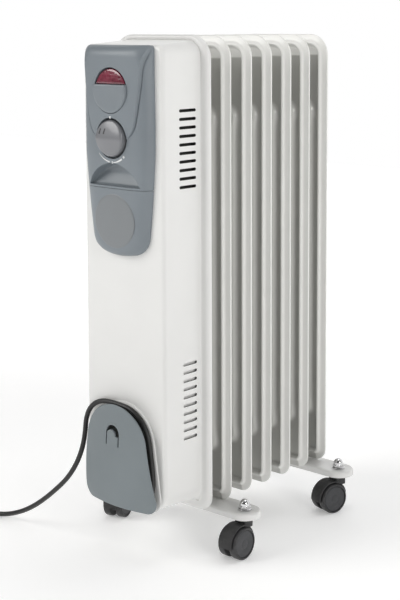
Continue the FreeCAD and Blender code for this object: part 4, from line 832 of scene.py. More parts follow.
class Cover:
    """White cover behind the panel, with its vents and what shows through them."""

    def __init__(self, sizes: CoverSizes = CoverSizes()) -> None:
        """Keep the sizes."""
        self.sizes = sizes

    def section(self, y: float, inset: float = 0.0) -> list[Flat]:
        """Outline of the box at a depth."""
        s = self.sizes
        share = (y - s.front[0]) / (s.rear[0] - s.front[0])
        half, low, high = (a + (b - a) * share for a, b in (
            (s.front[1], s.rear[1]), (s.front_span[0], s.rear_span[0]), (s.front_span[1], s.rear_span[1])))
        head = s.head_radius + (s.corner_radius - s.head_radius) * share
        return rounded(half - inset, low + inset, high - inset, max(s.corner_radius - inset, 2.0),
                       max(head - inset, 2.0), s.corner_steps, s.side_shares)

    def rings(self) -> list[list[Point]]:
        """Rings from the front face's edge back to the flange's rear edge."""
        s = self.sizes
        made = []
        for turn in spread(0, math.pi / 2, 10):
            y = s.front[0] + s.edge_radius * (1 - math.cos(turn))
            made.append([(x, y, z) for x, z in self.section(y, s.edge_radius * (1 - math.sin(turn)))])
        for y in spread(s.front[0] + s.edge_radius + 6, s.rear[0] - 3, 7):
            made.append([(x, y, z) for x, z in self.section(y)])
        wall = self.section(s.rear[0])
        flange = rounded(s.flange_half, *s.flange_span, s.flange_foot, s.flange_head, s.corner_steps,
                         s.side_shares)
        for share, y in s.lip:
            dip = s.groove * math.exp(-((share - s.groove_share) / s.groove_width) ** 2)
            made.append([(ax + (bx - ax) * share, y + dip * fade(az, *s.groove_span), az + (bz - az) * share)
                         for (ax, az), (bx, bz) in zip(wall, flange)])
        return made

    def slots(self) -> bpy.types.Object:
        """Tool that cuts the vents of both sides."""
        s = self.sizes
        skin = Skin()
        for first, length in s.slot_rows:
            outline = stadium(length / 2, s.slot_height / 2)
            for number in range(s.slot_count):
                z = first + s.slot_pitch * number
                for side in (-1, 1):
                    skin.capped([[(side * x, y + s.slot_end - length / 2, z + up) for y, up in outline]
                                 for x in s.slot_cut])
        return skin.piece("vent_tool", PAINTED_INSIDE_SHADE)

    def shell(self) -> bpy.types.Object:
        """The cover's sheet."""
        skin = Skin()
        rings = skin.loft(self.rings())
        skin.fill(rings[0])
        # The inner face takes the near black painted shade.
        cover = skin.piece("control_cover", COVER_ENAMEL, PAINTED_INSIDE_SHADE)
        thicken(cover, self.sizes.sheet, inner=1)
        return carve(cover, [self.slots()], sharp=40)

    def tray(self, name: str, low: float, high: float, inset: float, finish: Finish) -> bpy.types.Object:
        """Bent sheet inside the vents of both sides.

        Args:
            name: Name of the piece.
            low: Its foot.
            high: Its top.
            inset: Gap from the cover's wall.
            finish: Its finish.

        Returns:
            The piece.
        """
        s = self.sizes
        skin = Skin()
        half = s.front[1] - inset
        right = corner((half - s.tray_bend, s.tray_back), s.tray_bend, 270)
        right += [(half + out, y) for out, y in s.tray_lips]
        path = [(-x, y) for x, y in reversed(right)] + right
        skin.loft([[(x, y, z) for x, y in path] for z in crowded(low, high, (0, 0.8, 3), (3, 0.8, 0), 5)],
                  closed=False)
        piece = skin.piece(name, finish)
        thicken(piece, s.tray_sheet)
        return piece

    def build(self) -> None:
        """Make the cover and the trays."""
        fit(self.shell(), "heater", "cover_enamel", "control_housing")
        fit(self.tray("lower_tray", 140, 256, 2.9, COVER_ENAMEL), "heater", "cover_enamel")
        # The upper sheet is painted shade: a near black sheet behind the upper vents, standing for the deep shade
        # inside.
        fit(self.tray("upper_shade_sheet", 440, 560, 9.0, PAINTED_INSIDE_SHADE), "heater", "phenolic_dark")


# ---------------------------------------------------------------- control panel
@dataclass(frozen=True)
class PanelSizes:
    """Two moulded covers in the panel's outline, one above the other."""

    half: float = 60.0
    draft: float = 3.9
    head_radius: float = 20.0
    shoulder_radius: float = 6.0
    shoulder_half: float = 54.0
    fuller: tuple[Flat, ...] = (
        (400, 0.0), (430, 1.3), (459, 1.9), (485, 2.0), (500, 1.8), (520, 0.6), (540, -0.7), (560, -2.4),
        (580, -4.1), (604, -6.0))
    foot_radius: float = 26.0
    foot_arc: float = 120.0
    height: float = 252.0
    mount: float = -146.4
    side: float = 3.0
    crown: float = 14.6
    crown_power: float = 5.0
    tongue: float = 20.6
    tongue_fall: float = 3.6
    tongue_half: float = 49.0
    tongue_droop: float = 1.8
    droop_span: Flat = (20.0, 80.0)
    tongue_span: Flat = (511.0, 525.0)
    tongue_edge: Flat = (-0.3, 0.9)
    groove: float = 1.9
    groove_offset: float = 1.0
    groove_width: float = 0.9
    groove_end: Flat = (3.0, 14.0)
    slope: float = 1.9
    slope_drop: float = 128.0
    seam: Flat = (455.9, 456.4)
    roll: float = 14.0
    roll_flare: float = 5.0
    roll_depth: float = 0.94
    roll_power: float = 2.4
    edge: float = 7.0
    edge_flare: float = 12.0
    edge_flare_drop: Flat = (34.0, 2.0)
    edge_depth: float = 0.9
    foot_span: Flat = (0.35, 0.98)
    foot_power: float = 2.2
    crease: tuple[Flat, ...] = (
        (500, 24), (515, 24), (521, 30), (529, 35), (543, 38.6), (556, 40.8), (570, 42.8), (585, 44.6), (603, 46.2),
        (612, 48.4), (619, 51.0), (626, 53.5))
    key_z: float = 572.5
    key_well: float = 27.4
    knob_z: float = 516.0
    knob_well: float = 24.6
    well_floor: float = -154.8
    pull_radius: float = 45.9
    pull_centre: float = 440.6
    pull_floor: float = 458.8
    pull_sill: float = -155.4
    pull_scoop: float = 14.0
    pull_power: float = 0.8
    pull_rings: tuple[Flat, ...] = (
        (-175, -0.9), (-166, -0.3), (-160, 0.2), (-155, 0.8), (-151.6, 1.9), (-150.3, 3.2), (-149.8, 5.4))
    skirt: tuple[Flat, ...] = ((0.0, 0.3), (4.0, 0.6), (12.0, 1.6))
    top_rows: tuple[float, ...] = (
        606, 609.5, 612.5, 615.2, 617.6, 619.8, 621.6, 623.1, 624.3, 625.2, 625.8)
    lower_span: float = 86.0
    lower_power: float = 1.9


class Panel:
    """Grey control panel."""

    def __init__(self, sizes: PanelSizes = PanelSizes()) -> None:
        """Work out where the outline's arcs meet."""
        self.sizes = s = sizes
        self.top = Extent.of("control_panel").high[2]
        slant = math.radians(s.draft)
        normal, down = (math.cos(slant), -math.sin(slant)), (-math.sin(slant), -math.cos(slant))
        self.shoulder = (s.half - s.head_radius, self.top - s.head_radius)
        self.start = (self.shoulder[0] + s.head_radius * normal[0], self.shoulder[1] + s.head_radius * normal[1])
        self.foot_centre = self.top - s.height + s.foot_arc
        first = (self.start[0] - s.foot_radius * normal[0],
                 self.start[1] - s.foot_radius * normal[1] - self.foot_centre)
        along = first[0] * down[0] + first[1] * down[1]
        rest = first[0] ** 2 + first[1] ** 2 - (s.foot_arc - s.foot_radius) ** 2
        run = math.sqrt(along * along - rest) - along
        self.end = (self.start[0] + run * down[0], self.start[1] + run * down[1])
        self.corner = (self.end[0] - s.foot_radius * normal[0], self.end[1] - s.foot_radius * normal[1])
        bearing = math.atan2(self.corner[1] - self.foot_centre, self.corner[0])
        self.tangent_z = self.foot_centre + s.foot_arc * math.sin(bearing)

    def half(self, z: float) -> float:
        """Half the panel's width at a height."""
        s = self.sizes
        shoulder = self.top - s.shoulder_radius
        if z >= shoulder:
            return s.shoulder_half - s.shoulder_radius + chord(s.shoulder_radius, z - shoulder)
        if z >= self.start[1]:
            return s.shoulder_half
        if z >= self.end[1]:
            return self.start[0] - (self.start[1] - z) * math.tan(math.radians(s.draft)) + through(z, s.fuller)
        if z >= self.tangent_z:
            return self.corner[0] + chord(s.foot_radius, z - self.corner[1])
        return chord(s.foot_arc, z - self.foot_centre)

    def front(self, x: float, z: float) -> float:
        """Depth of the panel's face."""
        s = self.sizes
        half = max(self.half(z), 1e-3)
        share = min(abs(x) / half, 1.0)
        bow = s.side + s.crown * (1 - share ** s.crown_power) ** 0.5
        crease = min(through(z, s.crease), half)
        droop = s.tongue_droop * fade(s.key_z - z, *s.droop_span)
        raised = s.tongue - s.tongue_fall * (x / s.tongue_half) ** 2 - droop
        shown = fade(z, *s.tongue_span)
        rise = bow + max(raised - bow, 0) * fade(crease - abs(x), *s.tongue_edge) * shown
        gutter = math.exp(-((abs(x) - crease - s.groove_offset) / s.groove_width) ** 2)
        rise -= s.groove * gutter * shown * fade(self.top - z, *s.groove_end)
        rise -= max(self.top - s.slope_drop - z, 0) * math.tan(math.radians(s.slope))
        roll = s.roll + s.roll_flare * share ** 3
        top = clamp((z - (self.top - roll)) / roll)
        rise = s.side + (rise - s.side) * math.sqrt(1 - s.roll_depth * top ** s.roll_power)
        flared, full = (self.top - drop for drop in s.edge_flare_drop)
        edge = clamp(1 - (half - abs(x)) / (s.edge + s.edge_flare * fade(z, flared, full)))
        rise = s.side + (rise - s.side) * math.sqrt(1 - s.edge_depth * edge ** 2)
        beside = (abs(x) - self.corner[0]) / s.foot_radius
        foot = clamp((self.foot_floor(x) + s.roll - z) / s.roll) * (1 - fade(beside, *s.foot_span))
        return s.mount - s.side - max(rise - s.side, 0) * math.sqrt(1 - foot ** s.foot_power)

    def foot_floor(self, x: float) -> float:
        """Height of the outline's foot at a place across."""
        s = self.sizes
        if abs(x) < self.half(self.tangent_z):
            return self.foot_centre - chord(s.foot_arc, x)
        return self.corner[1] - chord(s.foot_radius, abs(x) - self.corner[0])

    def stations(self, z: float) -> list[float]:
        """Places across the face at a height, close together at the crease and at the sides."""
        half = self.half(z)
        crease = min(through(z, self.sizes.crease), half * 0.94)
        inner = [(crease - 1.6) * share for share in (0, 0.14, 0.28, 0.42, 0.56, 0.7, 0.82, 0.92, 1.0)]
        inner += [crease + step for step in (-0.9, -0.4, 0.0, 0.4)]
        shares = (0.0, 0.06, 0.12, 0.2, 0.34, 0.5, 0.66, 0.8, 0.9, 0.96, 1.0)
        first = crease + 0.8
        return mirrored(inner + [first + (half - first) * share for share in shares])

    def cover(self, name: str, levels: Sequence[float]) -> bpy.types.Object:
        """One moulded cover with its skirt and back, closed for cutting."""
        s = self.sizes
        skin = Skin()
        rings = [Shield(levels, self.stations, self.front).lay(skin)]
        rim = [skin.points[number] for number in rings[0]]
        low, high = levels[0], levels[-1]
        for back, inset in s.skirt:
            rings.append(skin.ring([(p.x * (1 - inset / s.half), s.mount + back,
                                     p.z + (low + high - 2 * p.z) / (high - low) * inset) for p in rim]))
        for first, second in zip(rings, rings[1:]):
            skin.bridge(first, second)
        skin.fill(rings[-1])
        return skin.piece(name, PANEL_GREY, sharp=38)

    def well(self, radius: float, z: float) -> bpy.types.Object:
        """Round tool for a well, open at the face."""
        skin = Skin()
        skin.revolve([(0, 0), (radius - 0.6, 0), (radius, 0.6), (radius, 40), (0, 40)], 72)
        skin.moved(Matrix.Translation((0, self.sizes.well_floor, z)) @ Matrix.Rotation(math.pi / 2, 4, "X"))
        return skin.piece("well_tool", PANEL_GREY)

    def scooped(self, y: float, rise: float) -> float:
        """Depth of the finger pull's bowl at a rise above its floor, where it would be y without the sill."""
        s = self.sizes
        past = max(y - s.pull_sill, 0)
        return y - past * (1 - clamp(rise / s.pull_scoop) ** s.pull_power)

    def pull(self) -> bpy.types.Object:
        """Tool for the finger pull: a bowl with a flat floor."""
        s = self.sizes
        rings = []
        for y, inset in s.pull_rings:
            radius = s.pull_radius - inset
            level = s.pull_floor + inset * 0.5
            reach = math.acos((level - s.pull_centre) / radius)
            arch = [polar(radius, a) for a in spread(math.pi / 2 - reach, math.pi / 2 + reach, 33)]
            half = radius * math.sin(reach)
            ring = [(x, s.pull_centre + z) for x, z in arch] + [(x, level) for x in spread(-half, half, 23)[1:-1]]
            rings.append([(x, self.scooped(y, z - level), z) for x, z in ring])
        skin = Skin()
        skin.capped(rings)
        return skin.piece("pull_tool", PANEL_GREY)

    def build(self) -> None:
        """Make both covers."""
        s = self.sizes
        foot, head = s.seam
        upper = ([head, head + 1.0, head + 3.5] + spread(head + 7, 512, 12) + spread(514.5, 532, 10)
                 + spread(537, 602, 13) + [*s.top_rows, self.top])
        lower = [self.top - s.height + s.lower_span * share ** s.lower_power for share in spread(0, 1, 30)]
        lower = [z for z in lower if z < foot - 4] + [foot - 3, foot - 0.8, foot]
        panel = self.cover("control_panel_cover", upper)
        tools = [self.well(s.key_well, s.key_z), self.well(s.knob_well, s.knob_z), self.pull()]
        fit(carve(panel, tools, 38), "heater", "panel_grey", "control_panel")
        fit(self.cover("badge_panel_cover", lower), "heater", "panel_grey", "badge_panel")


# ---------------------------------------------------------------- key, knob, badge and marks
@dataclass(frozen=True)
class ControlSizes:
    """What sits in the panel's wells."""

    key_radius: float = 26.8
    key_z: float = 572.5
    split: Flat = (579.8, 580.2)
    key_front: float = -169.6
    key_lean: float = 1.2
    key_dish: float = 0.9
    dish_drop: float = 4.0
    key_edge: Flat = (1.9, 2.2)
    lens_front: float = -167.6
    lens_radius: float = 25.7
    lens_dome: float = 1.8
    lens_edge: Flat = (1.4, 1.8)
    back: float = -158.4
    knob_radius: float = 21.8
    knob_z: float = 516.0
    knob_front: float = -172.0
    knob_skirt: float = -163.0
    knob_back: float = -157.4
    knob_edge: float = 2.2
    knob_bow: float = 1.3
    ridge_width: float = 3.0
    ridge_slope: float = 0.15
    badge_radius: float = 32.9
    badge_z: float = 417.0
    badge_front: float = -161.9
    badge_back: float = -159.8
    badge_falls: tuple[Flat, ...] = (
        (AXIS, 0.0), (8, 0.0), (16, 0.03), (24, 0.08), (30.6, 0.16), (31.8, 0.3), (32.6, 0.65), (32.9, 1.1))
    scale_radius: float = 28.6
    pointer: tuple[Flat, ...] = ((0, 542.2), (0, 540.6), (0, 539.2))
    arcs: tuple[tuple[str, float, float, float], ...] = (
        ("scale_left", 220, 261, 0.5), ("scale_right", 273, 304, 1.0))
    arc_points: int = 15
    arc_growth: float = 0.09
    middle_reach: float = 1.6
    frost_angle: float = 312.0
    frost_reach: float = 1.9
    knob_strokes: tuple[Flat, ...] = ((-13.4, 8.3), (-5.9, 8.5))
    stroke_reach: Flat = (0.9, 3.2)


class Controls:
    """Power key with its lens, thermostat knob, badge disc and printed marks."""

    def __init__(self, panel: Panel, sizes: ControlSizes = ControlSizes()) -> None:
        """Keep the panel, whose face the marks lie on."""
        self.panel = panel
        self.sizes = sizes

    def segment(self, name: str, levels: Sequence[float], radius: float, front: Front,
                finish: Finish) -> bpy.types.Object:
        """Part of the key's circle with a formed face and a straight side."""
        s = self.sizes
        across = mirrored((0, 0.2, 0.4, 0.58, 0.74, 0.86, 0.935, 0.975, 1.0))
        skin = Skin()
        face = Shield(levels, lambda z: [chord(radius, z - s.key_z) * share for share in across], front)
        edge = face.lay(skin)
        back = skin.ring([(p.x, s.back, p.z) for p in [skin.points[number] for number in edge]])
        skin.bridge(edge, back)
        skin.fill(back)
        return skin.piece(name, finish, sharp=35)

    def rounding(self, x: float, z: float, low: float, high: float, radius: float, reach: float) -> float:
        """Fall of a face near its edges, from 0 to 1."""
        edge = min(radius - math.hypot(x, z - self.sizes.key_z), z - low, high - z)
        return quarter(edge, reach)

    def key(self) -> bpy.types.Object:
        """Rocker below the lens: its face dips and leans in downwards."""
        s = self.sizes
        low, high = s.key_z - s.key_radius, s.split[0]
        fall, reach = s.key_edge

        def front(x: float, z: float) -> float:
            """Depth of the key's face."""
            lean = s.key_lean * fade(high - z, 0, high - low)
            dish = s.key_dish * fade(s.key_radius - math.hypot(x, z - s.key_z + s.dish_drop), 0, s.key_radius)
            return s.key_front + lean + dish + fall * self.rounding(x, z, low, high, s.key_radius, reach)
        levels = crowded(low, high, (0, 0.1, 0.35, 0.8, 1.5, 2.5, 4), (4, 2.4, 1.5, 0.8, 0.3, 0), 12)
        return self.segment("rocker_key", levels, s.key_radius, front, KEY_GREY)

    def lens(self) -> bpy.types.Object:
        """Domed red lens above the key."""
        s = self.sizes
        low, high = s.split[1], s.key_z + s.lens_radius
        fall, reach = s.lens_edge

        def front(x: float, z: float) -> float:
            """Depth of the lens's face."""
            dome = s.lens_dome * (math.hypot(x, z - s.key_z) / s.lens_radius) ** 2
            return s.lens_front + dome + fall * self.rounding(x, z, low, high, s.lens_radius, reach)
        levels = crowded(low, high, (0, 0.3, 0.8, 1.6, 3), (4, 2.6, 1.5, 0.8, 0.35, 0.1, 0), 8)
        return self.segment("key_lens", levels, s.lens_radius, front, RED_LENS)

    def knob_front(self, x: float, z: float) -> float:
        """Depth of the knob's face at a place about its own middle."""
        s = self.sizes
        ridge = math.hypot(z, s.ridge_width) - s.ridge_width
        return s.knob_front + s.ridge_slope * ridge + s.knob_bow * (math.hypot(x, z) / s.knob_radius) ** 3

    def knob(self) -> bpy.types.Object:
        """Thermostat knob: a round cap whose face falls away from a level ridge."""
        s = self.sizes

        def ring(radius: float, front: Front) -> list[Point]:
            """Ring of the cap."""
            return [(x, front(x, z), z) for x, z in (polar(radius, a) for a in circle(96))]
        flat = s.knob_radius - s.knob_edge
        rings = [ring(radius, self.knob_front) for radius in [AXIS, 0.8] + spread(1.8, flat, 16)]
        for turn in spread(math.radians(12), math.pi / 2, 7):
            fall = s.knob_edge * (1 - math.cos(turn))
            rings.append(ring(flat + s.knob_edge * math.sin(turn), lambda x, z: self.knob_front(x, z) + fall))
        for depth, draw in ((s.knob_skirt, 0.0), (s.knob_back - 0.6, 0.0), (s.knob_back, 0.5)):
            rings.append(ring(s.knob_radius - draw, lambda x, z: depth))
        skin = Skin()
        skin.capped(rings)
        return skin.moved(Matrix.Translation((0, 0, s.knob_z))).piece("knob_cap", KNOB_SILVER)

    def badge(self) -> bpy.types.Object:
        """Bare badge disc with a soft edge, leaning with the panel."""
        s = self.sizes
        depth = s.badge_back - s.badge_front
        skin = Skin()
        profile = [(radius, depth - fall) for radius, fall in s.badge_falls]
        skin.revolve(profile + [(s.badge_radius, 0), (AXIS, 0)], 96)
        lean = math.radians(90 + self.panel.sizes.slope)
        skin.moved(Matrix.Translation((0, s.badge_back, s.badge_z)) @ Matrix.Rotation(lean, 4, "X"))
        return skin.piece("blank_badge", BADGE_GREY)

    def mark(self, name: str, path: Sequence[Flat], widths: Sequence[float], finish: Finish, body: str,
             front: Front) -> None:
        """Printed stroke that lies on a face.

        Args:
            name: Name of the piece.
            path: Its middle line, across and up.
            widths: Its width at each point.
            finish: Its colour.
            body: Body that it rides on.
            front: Depth of the face under it.
        """
        left, right = [], []
        for index, (x, z) in enumerate(path):
            before, after = path[max(index - 1, 0)], path[min(index + 1, len(path) - 1)]
            run = Vector((after[0] - before[0], after[1] - before[1])).normalized()
            half = widths[index] / 2
            left.append((x - run.y * half, z + run.x * half))
            right.append((x + run.y * half, z - run.x * half))
        outline = left + right[::-1]
        skin = Skin()
        rings = skin.loft([[(x, front(x, z) + lift, z) for x, z in outline] for lift in (-0.10, 0.4)])
        count = len(left)
        for ring in rings:
            skin.bridge(ring[:count], ring[:count - 1:-1], closed=False)
        fit(skin.piece(name, finish), body, "badge_silver")

    def marks(self) -> None:
        """The knob's scale and pointers."""
        s = self.sizes
        middle, radius = s.knob_z, s.scale_radius

        def around(start: float, end: float, count: int) -> list[Flat]:
            """Points round the knob between two angles in degrees."""
            return corner((0, middle), radius, start, end - start, count - 1)
        strokes = {"pointer_mark": (s.pointer, [3.0, 1.8, 0.4])}
        for name, start, end, width in s.arcs:
            strokes[name] = (around(start, end, s.arc_points),
                             [width + s.arc_growth * step for step in range(s.arc_points)])
        foot = middle - radius
        strokes["scale_middle"] = ([(0, foot - s.middle_reach), (0, foot + s.middle_reach)], [1.2, 1.2])
        at = around(s.frost_angle, s.frost_angle, 2)[0]
        for number in range(3):
            x, z = polar(s.frost_reach, math.radians(60 * number))
            strokes["frost_%d" % number] = ([(at[0] - x, at[1] - z), (at[0] + x, at[1] + z)], [0.6, 0.6])
        for name, (path, widths) in strokes.items():
            self.mark(name, path, widths, MARK_WHITE, "heater", self.panel.front)
        out, up = s.stroke_reach
        for number, (x, z) in enumerate(s.knob_strokes):
            self.mark("knob_stroke_%d" % number, [(x - out, z + middle - up), (x + out, z + middle + up)],
                      [2.2, 2.0], MARK_DARK, "knob", lambda x, z: self.knob_front(x, z - middle))

    def build(self) -> None:
        """Make the controls."""
        fit(self.key(), "key", "key_grey", "power_key")
        fit(self.lens(), "heater", "lens_maroon", "indicator_lens")
        fit(self.knob(), "knob", "knob_silver", "thermostat_knob")
        fit(self.badge(), "heater", "badge_silver", "badge_disc")
        self.marks()


# ---------------------------------------------------------------- cord wrap
@dataclass(frozen=True)
class WrapSizes:
    """Arch shaped cord wrap: base plate, hub and curved front plate."""

    arch: float = 50.0
    centre: float = 144.0
    draft: float = 8.6
    low: float = 66.6
    corner: float = 15.0
    corner_draw: float = 0.6
    base: Flat = (-146.4, -147.9)
    hub_inset: float = 19.0
    front: float = -169.8
    hub_neck: float = -153.0
    wall: float = 2.2
    edge_reach: float = 1.6
    edge_fall: float = 1.05
    round_width: float = 190.0
    round_height: float = 600.0
    round_centre: float = 124.8
    lean: float = 3.6
    lean_from: float = 150.0
    clip_centre: float = 158.5
    clip_radius: float = 11.0
    clip_tongue: float = 6.9
    tongue_offset: Flat = (-2.5, -2.0)
    clip_slit: float = 14.0
    slit_width: float = 1.9


class CordWrap:
    """Where the cord is wound, below the panel."""

    def __init__(self, sizes: WrapSizes = WrapSizes()) -> None:
        """Keep the sizes."""
        self.sizes = sizes

    def flank(self, inset: float, foot: float, low: float) -> tuple[Flat, Flat]:
        """Straight side of the arch.

        Args:
            inset: How far it is drawn in.
            foot: Radius of the corner under it.
            low: Height of the floor under that corner.

        Returns:
            Its upper end and its lower end, on the right.
        """
        s = self.sizes
        slant = math.radians(s.draft)
        x, z = polar(s.arch - inset, slant)
        z += s.centre
        run = (z - foot * math.sin(slant) - low - foot) / math.cos(slant)
        return (x, z), (x + run * math.sin(slant), z - run * math.cos(slant))

    def half(self, z: float, inset: float = 0.0) -> float:
        """Half the arch's width at a height."""
        s = self.sizes
        slant = math.radians(s.draft)
        foot, low = max(s.corner - inset * s.corner_draw, 2.0), s.low + inset
        start, end = self.flank(inset, foot, low)
        if z >= start[1]:
            return chord(s.arch - inset, z - s.centre)
        if z >= end[1]:
            return start[0] + (start[1] - z) * math.tan(slant)
        return end[0] - foot * math.cos(slant) + chord(foot, z - low - foot)

    def levels(self, inset: float = 0.0) -> list[float]:
        """Heights of rows up the arch, close together at both ends."""
        s = self.sizes
        low = s.low + inset
        foot = [low + s.corner * (1 - math.cos(turn)) for turn in spread(0, math.pi / 2, 8)]
        head = [s.centre + (s.arch - inset) * math.sin(turn) for turn in spread(0.1, math.pi / 2, 16)]
        return foot + spread(foot[-1] + 6, s.centre, 9) + head

    def loop(self, y: float, inset: float) -> list[Point]:
        """Ring round the arch at a depth."""
        levels = self.levels(inset)
        right = [(self.half(z, inset), y, z) for z in levels]
        return right + [(-x, y, z) for x, y, z in reversed(right[:-1])]

    def surface(self, x: float, z: float) -> float:
        """Depth of the plate's front."""
        s = self.sizes
        up = z - s.round_centre
        across = s.round_width - up * up / (2 * s.round_height)
        return s.front + s.round_width - math.sqrt(across ** 2 - x * x) + s.lean * max(
            (s.lean_from - z) / (s.lean_from - s.low), 0) ** 2

    def plate(self) -> bpy.types.Object:
        """Curved front plate with a rounded edge and the plug's crescent clip."""
        s = self.sizes
        across = mirrored((0, 0.16, 0.32, 0.48, 0.63, 0.77, 0.88, 0.95, 0.985, 1.0))
        skin = Skin()
        edges = []
        for depth, way in ((0.0, 1), (s.wall, -1)):
            def face(x: float, z: float) -> float:
                """Depth of one side of the plate, with its edge rounded."""
                edge = min(self.half(z) - abs(x), z - s.low)
                if z > s.centre:
                    edge = s.arch - math.hypot(x, z - s.centre)
                return self.surface(x, z) + depth + way * s.edge_fall * quarter(edge, s.edge_reach)
            shield = Shield(self.levels(), lambda z: [self.half(z) * share for share in across], face)
            edges.append(shield.lay(skin))
        skin.bridge(*edges)
        return carve(skin.piece("wrap_front_plate", WRAP_GREY), [self.clip()], 34)

    def clip(self) -> bpy.types.Object:
        """Tool for the clip: a crescent over a tongue, with a slit down each side."""
        s = self.sizes
        x, z = s.tongue_offset
        outer = corner((0, s.clip_centre), s.clip_radius, 0, 180, 24)
        inner = corner((x, s.clip_centre + z), s.clip_tongue, 172, -185, 20)
        edge, low = s.slit_width - s.clip_radius, s.clip_centre - s.clip_slit
        left = [(-s.clip_radius, low), (edge, low), (edge, s.clip_centre - 3)]
        right = [(-x, z - 0.4) for x, z in reversed(left)]
        outline = outer + left + inner[1:-1] + right
        skin = Skin()
        skin.capped([[(x, y, z) for x, z in outline] for y in (s.front - 6, s.front + 12)])
        return skin.piece("clip_tool", WRAP_GREY)

    def base(self) -> bpy.types.Object:
        """White base plate with a soft edge."""
        back, front = self.sizes.base
        skin = Skin()
        skin.capped([self.loop(y, inset) for y, inset in (
            (back, 0.0), (front + 0.7, 0.0), (front + 0.3, 0.15), (front, 0.7), (front, 4.0))])
        return skin.piece("wrap_base_plate", WRAP_WHITE)

    def hub(self) -> bpy.types.Object:
        """Hub between the plates, flared where it leaves the base."""
        s = self.sizes
        foot = s.base[1]
        skin = Skin()
        rings = [self.loop(y, s.hub_inset - flare) for y, flare in (
            (foot + 0.3, 1.6), (foot - 0.6, 0.7), (foot - 2.0, 0.0), (s.hub_neck, 0.0))]
        rings.append([(x, self.surface(x, z) + s.wall / 2, z) for x, _, z in self.loop(0, s.hub_inset)])
        skin.loft(rings)
        return skin.piece("wrap_hub", WRAP_WHITE)

    def build(self) -> None:
        """Make the wrap."""
        fit(self.plate(), "heater", "wrap_grey", "cord_wrap_plate")
        fit(self.base(), "heater", "wrap_white", "cord_wrap_base")
        fit(self.hub(), "heater", "wrap_white")


# ---------------------------------------------------------------- mains cord
@dataclass(frozen=True)
class CordSizes:
    """Mains cord: wound on the hub, led over the floor and coiled beside the heater."""

    radius: float = 3.1
    exit: Place = (4.0, -151.4, 73.8)
    gland_run: float = 7.8
    inner_lane: float = 10.7
    outer_lane: float = 4.1
    bend: float = 26.0
    down_forward: float = 5.6
    down_span: Flat = (0.0, 62.0)
    down_from: float = 135.0
    pass_depth: float = -157.5
    pass_dip: float = 0.6
    pass_lift: float = 0.15
    pass_span: Flat = (-19.4, 17.6)
    over_depth: float = -157.6
    over_return: float = 6.2
    over_span: Flat = (68.0, 120.0)
    route: tuple[Place, ...] = (
        (0.0, -151.4, 189.9), (-22.5, -151.5, 190.9), (-39.5, -152.2, 188.4), (-53.5, -153.4, 178.6),
        (-60.5, -154.2, 163.6), (-61.0, -155.5, 146.0), (-62.8, -158.5, 126.0), (-70.0, -162.5, 104.0),
        (-85.5, -165.0, 81.5), (-109.0, -167.0, 60.0), (-133.0, -167.2, 41.0), (-158.0, -166.6, 25.0),
        (-184.0, -166.0, 12.5), (-209.0, -167.0, 4.4), (-231.0, -173.0, 3.2))
    coil_centre: Flat = (-240.0, -219.0)
    coil_outer: float = 37.4
    coil_inner: float = 31.2
    coil_steps: int = 16
    coil_start: float = 106.0
    coil_end: float = 1280.0
    coil_in: Flat = (385.0, 470.0)
    coil_up: Flat = (735.0, 825.0)
    coil_out: Flat = (1105.0, 1190.0)
    floor_lane: float = 3.15
    top_lane: float = 9.35
    plug_neck: Place = (-269.6, -246.5, 9.7)
    plug_heading: Place = (0.342, -0.94, 0.0)


@dataclass(frozen=True)
class PlugSizes:
    """Round moulded plug: profiles of (radius, height) from the cord to the face."""

    neck: tuple[Flat, ...] = ((AXIS, -0.5), (3.4, -0.5), (4.1, 0.2))
    rib_count: int = 5
    rib_foot: Flat = (4.4, 2.5)
    rib_step: Flat = (0.55, 4.1)
    rib: tuple[Flat, ...] = ((0.0, 0.0), (0.35, 0.5), (0.45, 2.0), (0.1, 2.7), (-0.9, 2.9), (-0.9, 4.0))
    body: tuple[Flat, ...] = (
        (7.2, 23.4), (8.4, 24.2), (9.6, 25.6), (12.0, 27.0), (13.8, 29.4), (15.0, 33.0), (16.2, 37.8),
        (17.3, 41.4), (17.9, 43.0), (18.0, 44.6), (18.0, 51.6), (17.7, 53.4), (16.9, 54.5), (15.6, 54.8),
        (AXIS, 54.8))
    radius: float = 18.0
    rest: float = 42.8
    tilt: float = 10.846
    turn: float = -70.0
    place: Flat = (-269.8, -246.9)


